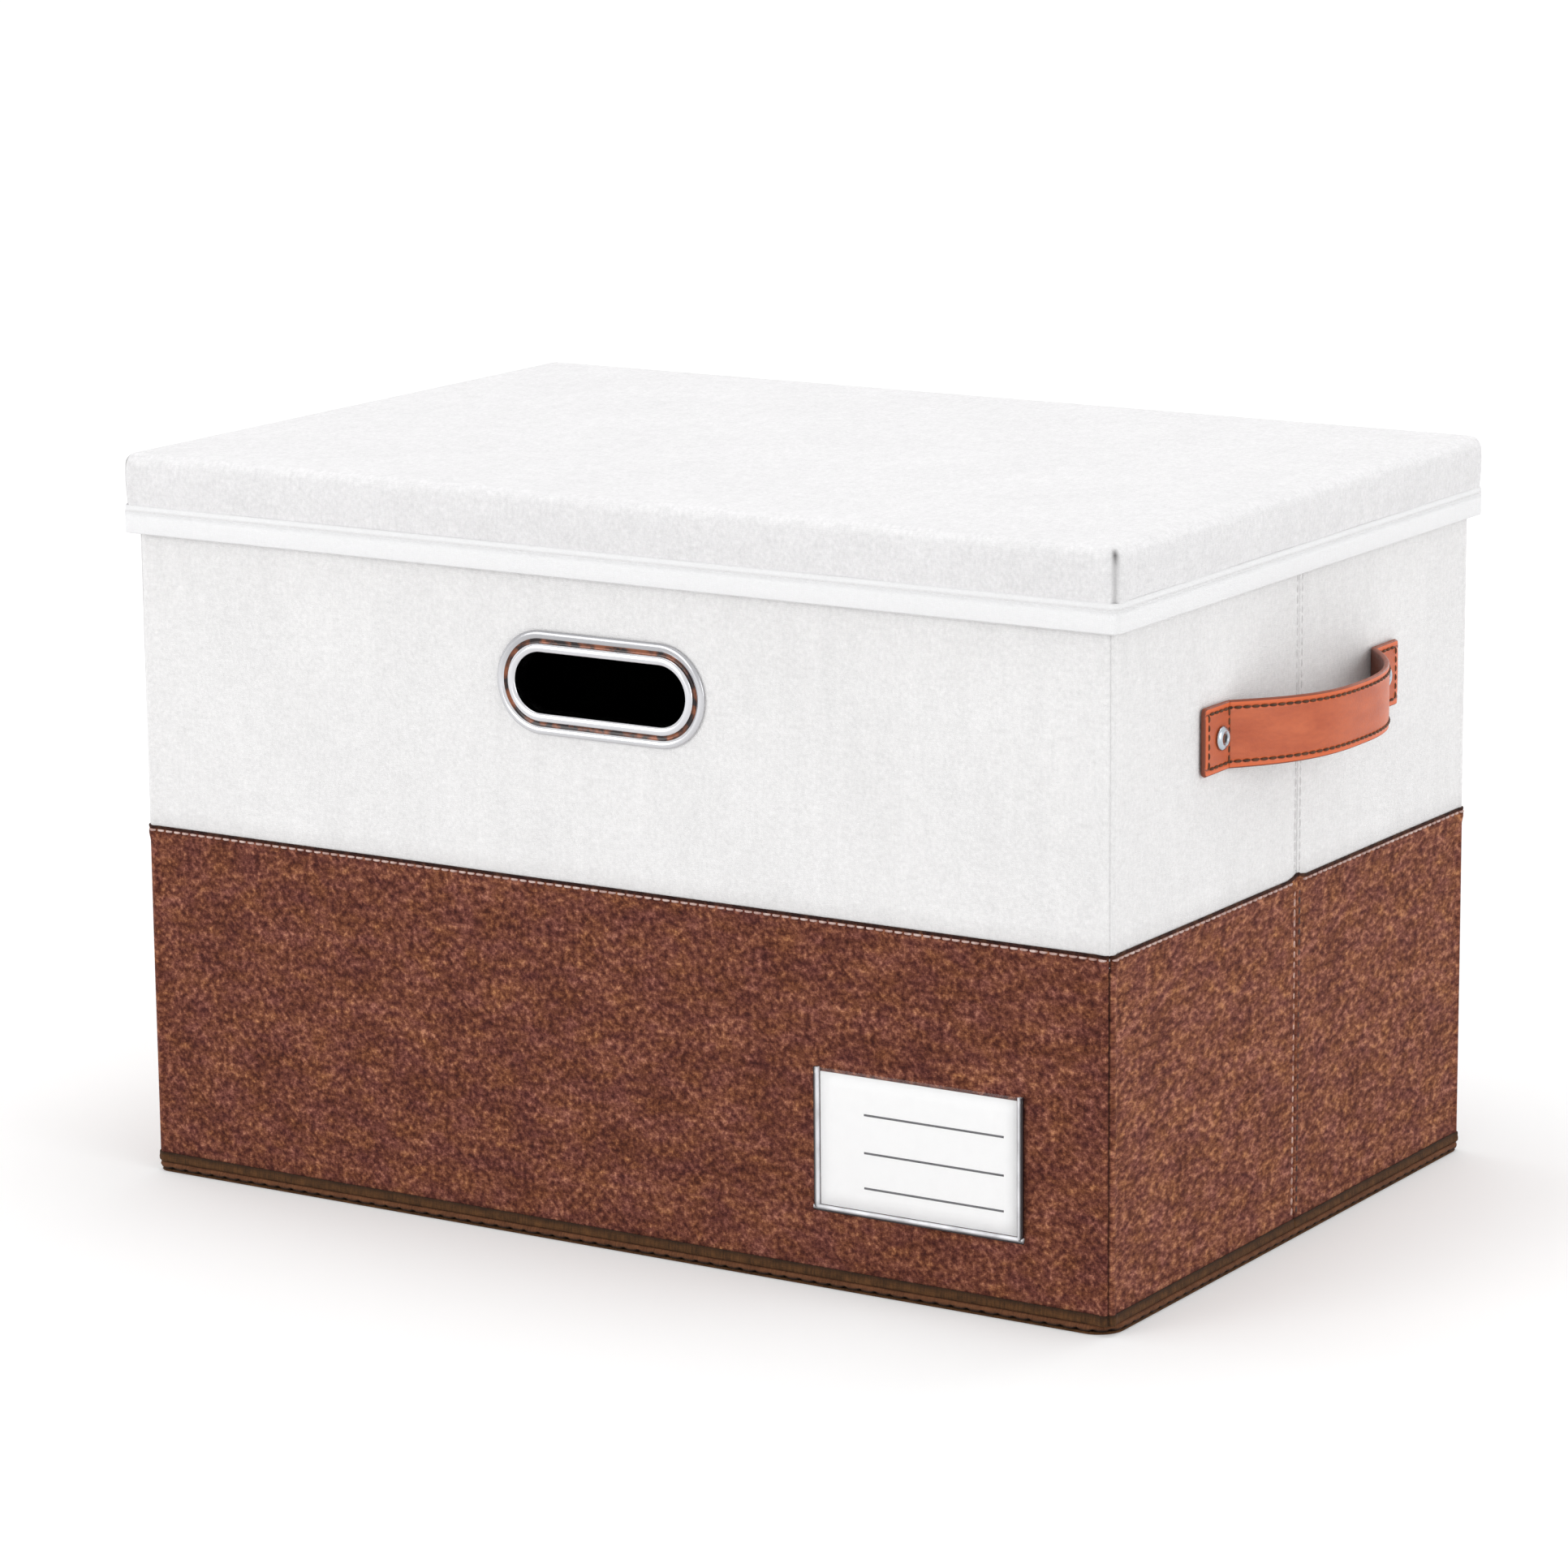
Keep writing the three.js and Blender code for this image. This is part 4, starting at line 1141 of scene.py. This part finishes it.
def grip():
    """The outer ring, with its rolled lip, dark groove and rounded flange, and the flat inner one."""
    face = -HALF_Y - 0.3 * MM
    back = high("grip_outer_ring")[1]
    hole, lip = 12 * MM, 3.6 * MM
    flange = 0.94 * grip_line()[2] - hole
    section = [(0, back, 0.0), (0, face + 1 * MM, 0.0)]
    for angle in np.linspace(math.pi, 0, 13):
        section.append((lip / 2 * (1 + math.cos(angle)), face - (0.7 + 1.1 * math.sin(angle)) * MM, 0.0))
    for out, proud, tone in ((-0.35, 0.6, 0.95), (0.1, 0.25, 1.0), (1.3, 0.25, 1.0), (1.8, 0.7, 0.9)):
        section.append((lip + out * MM, face - proud * MM, tone))
    crown_start = lip + 1.9 * MM
    # The flange's crown gets painted shade, greyer towards its outer edge.
    for angle in np.linspace(0.88 * math.pi, 0, 9):
        out = (crown_start + flange + (flange - crown_start) * math.cos(angle)) / 2
        tone = 0.02 + 0.07 * (1 + math.cos(angle))
        section.append((out, face - (0.4 + 0.9 * math.sin(angle)) * MM, tone))
    section += [
        (flange, face - 0.25 * MM, 0.0), (flange - 0.3 * MM, face, 0.0),
        (0.8 * MM, face, 0.0), (0.8 * MM, back, 0.0),
    ]
    grip_ring("grip_ring_outside", section, hole, "grip_outer_ring")

    lows, highs = BOXES["grip_inner_ring"]
    hole = 13.1 * MM
    reach = (highs[2] - lows[2]) / 2 - hole
    near, far = lows[1], highs[1]
    shoulder = near + 0.35 * (far - near)
    flat = [(0, far), (0, near), (reach, near), (reach, shoulder)]
    flat += [(reach - 0.4 * MM, far - 0.2 * MM), (reach - 1.2 * MM, far)]
    grip_ring("grip_ring_inside", [(*place, 0.0) for place in flat], hole, "grip_inner_ring")


def rivets():
    """Turned rivet heads with painted shade in the dimple; the dome's rows are (share of the radius, mm,
    shade).
    """
    tip_radius, shank = 0.05 * MM, 1.8 * MM
    dome = (
        (0.96, 0, 0), (1, 0.3, 0), (0.95, 0.85, 0), (0.8, 1.4, 0), (0.62, 1.7, 0),
        (0.5, 1.55, 0), (0.42, 1.25, 0.5), (0.34, 0.95, 0.9), (0.2, 0.8, 1.0),
    )
    for prefix, body, *_ in HALF_WALLS:
        lows, highs = BOXES[f"{prefix}_rivet"]
        out = 1 if prefix.startswith("right") else -1
        near, far = sorted((abs(lows[0]), abs(highs[0])))
        head = far - near - 1.7 * MM
        radius = (highs[2] - lows[2]) / 2
        profile = [(tip_radius, 0, 0), (shank, 0, 0), (shank, head, 0)]
        profile += [(radius * share, head + z * MM, tone) for share, z, tone in dome]
        profile.append((tip_radius, head + 0.75 * MM, 1.0))
        centre = np.array([out * near, *((lows + highs) / 2)[1:]])
        ways = [np.array([0, -out * math.cos(angle), math.sin(angle)]) for angle in turns(40)]
        mesh = swept([centre] * 40, ways, [row[:2] for row in profile], [row[2] for row in profile],
                     np.array([out, 0, 0]), runs=np.linspace(0, 2 * math.pi * shank, 41), tube=False,
                     lids=(0, -1), plane=(1, 2))
        piece(f"{prefix}_rivet_head", mesh, RIVET, body, node=f"{prefix}_rivet")


# Leather handles

STRAP_LOW, STRAP_HIGH = BOXES["right_handle_strap"]
STRAP_THICK = 2.4 * MM
STRAP_HALF = (STRAP_HIGH[2] - STRAP_LOW[2]) / 2
STRAP_SPAN = STRAP_HIGH[1]
STRAP_START = np.array([STRAP_LOW[0] + STRAP_THICK / 2, 0, (STRAP_HIGH[2] + STRAP_LOW[2]) / 2])
STRAP_REACH = 62 * MM
STRAP_END_RADIUS = 2 * MM
RIVET_Y = 69 * MM
STITCH_INSET = 2.9 * MM
RIM_START = 1.0 * MM


def rim_tone(from_edge):
    """0 on the leather's face, 0.5 on its bright rim and nearly 1 on its dyed edge."""
    rim = 0.5 * limited((STITCH_INSET - 0.6 * MM - from_edge) / (0.4 * MM))
    return max(rim, 0.9 * limited((RIM_START - from_edge) / (0.3 * MM)))


def strap_line(y):
    """The middle of the strap: flat on the wall at both ends, and bowed out between them."""
    bow = STRAP_HIGH[0] - STRAP_LOW[0] - STRAP_THICK
    share = min(1.0, abs(y) / STRAP_REACH)
    return STRAP_START + np.array([bow * (1 - share**2.6) ** 1.1, y, 0])


def waist(y):
    return 1 - 0.07 * bell(y, 50 * MM)


def strap_section():
    """The strap cut across: rounded edges, a low crown and a groove for the stitches."""
    half, top = STRAP_HALF, STRAP_THICK / 2
    edge = np.linspace(half - 4.4 * MM, half - 0.6 * MM, 17)
    face = np.linspace(-half + 5.5 * MM, half - 5.5 * MM, 9)
    outer, shade = [], []
    for across in (*-edge[::-1], *face, *edge):
        from_edge = half - abs(across)
        groove = bell(from_edge - STITCH_INSET, 0.7 * MM)
        crown = 0.12 * MM * (1 - (across / half) ** 2)
        outer.append((top - 0.1 * MM + crown - 0.35 * MM * groove, across))
        # Painted shade darkens the stitch groove.
        shade.append(max(rim_tone(from_edge), 0.88 * groove))
    cut, bevel = top - 0.45 * MM, half - 0.3 * MM
    side = [(cut, bevel), (0, half), (-cut, bevel)]
    back = [(-top, half - 1 * MM), (-top, 0), (-top, -half + 1 * MM)]
    other = [(-cut, -bevel), (0, -half), (cut, -bevel)]
    # The sides take the dyed edge's shade; the back's 0.95 is a painted shadow under the strap.
    return outer + side + back + other, shade + [0.85] * 3 + [0.95] * 3 + [0.85] * 3


def strap_stitches(line, ways, ys, about):
    """Rows along both edges, across both ends and where the strap leaves the wall."""
    lift = STRAP_THICK / 2 - 0.4 * MM
    reach = STRAP_HALF - STITCH_INSET
    end, bend = STRAP_SPAN - STITCH_INSET, STRAP_REACH + 1 * MM
    inside = [k for k, y in enumerate(ys) if abs(y) <= end]
    rows = []
    for side in (-reach, reach):
        path = [line[k] + ways[k] * lift + UP * side * waist(ys[k]) for k in inside]
        rows.append((path, [ways[k] for k in inside]))
    for y in (-end, -bend, bend, end):
        x = np.interp(y, ys, line[:, 0]) + lift
        path = [(x, y, STRAP_START[2] + across) for across in between(-reach, reach, 1 * MM)]
        rows.append((path, [(1, 0, 0)] * len(path)))
    return joined([stitches(faced(about, path), faced(about, outs), STRAP_STITCH) for path, outs in rows])


def handles():
    """The stitched straps."""
    fine = np.concatenate([
        between(STRAP_SPAN - 2 * MM, STRAP_SPAN, 0.4 * MM),
        between(STRAP_REACH - 12 * MM, STRAP_REACH + 1 * MM, 0.8 * MM),
    ])
    ys = np.concatenate([between(-STRAP_SPAN, STRAP_SPAN, 2 * MM), -fine, fine])
    ys = sorted(set(np.round(ys, 6)))
    line = np.array([strap_line(y) for y in ys])
    ahead = np.vstack([line[1:], line[-1:]]) - np.vstack([line[:1], line[:-1]])
    ways = [np.array([step[1], -step[0], 0]) / np.linalg.norm(step) for step in ahead]
    section, tones = strap_section()
    rows, shade = [], []
    for point, way, y in zip(line, ways, ys):
        from_end = STRAP_SPAN - abs(y)
        left = max(STRAP_END_RADIUS - from_end, 0)
        cut = STRAP_END_RADIUS - math.sqrt(max(STRAP_END_RADIUS**2 - left**2, 0))
        narrow = (1 - cut / STRAP_HALF) * waist(y)
        thin = 1 - 0.35 * bell(from_end, 0.8 * MM)
        rows.append([point + way * out * thin + UP * across * narrow for out, across in section])
        shade.append([max(tone, rim_tone(from_end)) for tone in tones])
    for side, about in SIDES:
        mesh = skin(faced(about, rows), lengths(line), lengths(section, closed=True), shade, tube=True)
        on = (f"{side}_rear_half", f"{side}_front_half", (0, RIVET_Y, 0.2), (0, -RIVET_Y, 0.2))
        piece(f"{side}_leather_handle", mesh, LEATHER, on, node=f"{side}_handle_strap")
        mesh = strap_stitches(line, ways, ys, about)
        piece(f"{side}_handle_stitches", mesh, DARK_THREAD, on)


# Label

LABEL_RAIL = 2.4 * MM
LINE_HALF = 0.42 * MM


def panel(xs, zs, depth):
    """An upright sheet seen from the front; depth gives y from x and z."""
    rows = [[(x, depth(x, z), z) for z in zs] for x in xs]
    return skin(rows, np.subtract(xs, xs[0]), np.subtract(zs, zs[0]))


def rail(start, end, over, front, back):
    """A rounded bar from start to end, (x, z) pairs, that reaches over past both."""
    start, end = (np.array([x, (back + front) / 2, z]) for x, z in (start, end))
    length = np.linalg.norm(end - start)
    along = (end - start) / length
    across = np.cross(along, (0, -1, 0)) * LABEL_RAIL / 2
    out = np.array([0, (front - back) / 2, 0])
    section = [(math.cos(a), math.sin(a)) for a in turns(14)]
    soft = [[math.copysign(abs(c) ** 0.6, c) for c in pair] for pair in section]
    places = spread(length + 2 * over, 3 * MM)
    rows = [[start + along * (s - over) + across * a + out * b for a, b in soft] for s in places]
    # Painted shadow along each rail's outer side.
    tones = np.tile([1.0 if a > 0.2 else 0.0 for a, _ in section], (len(rows), 1))
    return skin(rows, places, np.linspace(0, 8 * MM, len(section) + 1), tones, tube=True)


def label():
    """The clear pocket with its rails, and the card with its three ruled lines."""
    lows, highs = BOXES["label_pocket"]
    half = LABEL_RAIL / 2
    left, right, floor_z, top = lows[0] + half, highs[0] - half, lows[2] + half, highs[2]
    front, back = lows[1], highs[1]
    rails = (
        rail((left, top), (left, floor_z), 0.0, front, back),
        rail((left, floor_z), (right, floor_z), half, front, back),
        rail((right, floor_z), (right, top), 0.0, front, back),
    )
    piece("label_pocket_rails", joined(rails), RAIL, "front_wall", node="label_pocket")

    def bulge(x, z):
        return front + 0.35 * MM - 0.12 * MM * math.sin(math.pi * (x - left) / (right - left))

    mesh = panel(between(left, right, 5 * MM), between(floor_z, top, 5 * MM), bulge)
    piece("label_pocket_film", mesh, CLEAR, "front_wall", 0.25 * MM)

    lows, highs = BOXES["label_card"]
    width, thick, height = highs - lows
    xs, zs = between(lows[0], highs[0], STEP), between(lows[2], highs[2], STEP)
    mesh = panel(xs, zs, lambda x, z: lows[1] + 0.02 * MM)
    piece("label_card_sheet", mesh, PAPER, "label_card", thick, "label_card")
    xs = between(lows[0] + width * 0.225, highs[0] - width * 0.065, 8 * MM)
    lines = []
    for share in (0.72, 0.435, 0.17):
        middle = lows[2] + height * share
        zs = (middle - LINE_HALF, middle, middle + LINE_HALF)
        lines.append(panel(xs, zs, lambda x, z: lows[1] - (0.05 if z == middle else 0.03) * MM))
    piece("label_card_lines", joined(lines), INK, "label_card", 0.05 * MM)


# Carried-over solids

def finish_solids():
    """Gives the stiffening boards, the board core and the washers their materials."""
    for name, obj in frame["nodes"].items():
        if not obj.hide_render:
            obj.data.materials.clear()
            obj.data.materials.append(RIVET if name.endswith("washer") else BOARD)


# Camera, floor and light

CAMERA_PLACE = (1.214467, -1.943966, 0.654030)
CAMERA_YAW, CAMERA_PITCH, CAMERA_ROLL = 0.5626, 0.2123, -0.0088
CAMERA_LENS = 131.1546
CAMERA_SENSOR = 36
FLOOR_HALF = 14.0
AIM = Vector((0, 0, 0.15))
LAMPS = (
    ("front", (-1.6, -3.2, 1.0), 2.2, 36.5),
    ("right", (3.3, -0.5, 1.0), 2.2, 25.0),
    ("back", (0.6, 3.3, 1.0), 2.2, 24.0),
    ("left", (-3.3, 0.4, 1.0), 2.2, 12.0),
    ("top", (0.0, 0.0, 3.0), 2.0, 22.0),
)


def camera():
    """The photograph's view: above and to the right of the front wall, with a long lens."""
    level = math.cos(CAMERA_PITCH)
    back = Vector((math.sin(CAMERA_YAW) * level, -math.cos(CAMERA_YAW) * level, math.sin(CAMERA_PITCH)))
    right = (-back).cross(Vector((0, 0, 1))).normalized()
    up = right.cross(-back)
    turn = Matrix((right, up, back)).transposed() @ Matrix.Rotation(CAMERA_ROLL, 3, "Z")
    data = bpy.data.cameras.new("camera")
    data.lens = CAMERA_LENS
    data.sensor_width = CAMERA_SENSOR
    data.dof.use_dof = False
    obj = put_in_scene("camera", data)
    obj.matrix_world = Matrix.Translation(CAMERA_PLACE) @ turn.to_4x4()
    bpy.context.scene.camera = obj


def direct_view(g):
    """1 where the camera sees the surface itself, through glass or in a mirror."""
    path = g.add("LightPath").outputs
    seen = g.math("MAXIMUM", path["Is Camera Ray"], path["Is Glossy Ray"])
    return g.math("MAXIMUM", seen, path["Is Transmission Ray"])


def floor():
    """A pale floor that the camera sees fade to white away from the box."""
    mesh = bpy.data.meshes.new("floor")
    corners = [(x * FLOOR_HALF, y * FLOOR_HALF, 0) for x, y in ((-1, -1), (1, -1), (1, 1), (-1, 1))]
    mesh.from_pydata(corners, [], [(0, 1, 2, 3)])
    g = Graph("floor")
    colour = g.ramp(g.noise(400), 0.0, 1.0, ((0.79, 0.79, 0.79), (0.81, 0.81, 0.81)))
    place = g.add("TexCoord").outputs["Object"]
    away = g.add("VectorMath", {0: place}, operation="LENGTH").outputs["Value"]
    glow = g.math("MULTIPLY", direct_view(g), g.range(away, 0.7, 4.0, 0.22, 0.5))
    mesh.materials.append(g.finish(colour, 0.95, Emission_Color=(1, 1, 1, 1), Emission_Strength=glow))
    obj = put_in_scene("floor", mesh)


def light():
    """A white world, dimmer as light than as what the camera sees, and five soft lamps."""
    g = Graph("world", "worlds")
    bpy.context.scene.world = g.owner
    nodes = g.tree.nodes
    for key, value in (("Color", (1, 1, 1, 1)), ("Strength", 0.66)):
        g.put(nodes["Background"].inputs[key], value)
    seen = g.add("Background", {"Color": (1, 1, 1, 1), "Strength": 1.0})
    shaders = {0: direct_view(g), 1: nodes["Background"].outputs[0], 2: seen.outputs[0]}
    g.put(nodes["World Output"].inputs[0], g.add("MixShader", shaders).outputs[0])
    for name, place, size, power in LAMPS:
        data = bpy.data.lights.new(name, "AREA")
        data.shape = "DISK"
        data.size = size
        data.energy = power
        obj = put_in_scene(name, data)
        obj.location = place
        obj.rotation_euler = (AIM - Vector(place)).to_track_quat("-Z", "Y").to_euler()


camera()
long_walls()
half_walls()
left_front_corner()
linings()
seam_tapes()
lid()
base()
bottom_board()
grip()
rivets()
handles()
label()
finish_solids()
floor()
light()
bpy.context.scene.view_settings.view_transform = "Standard"
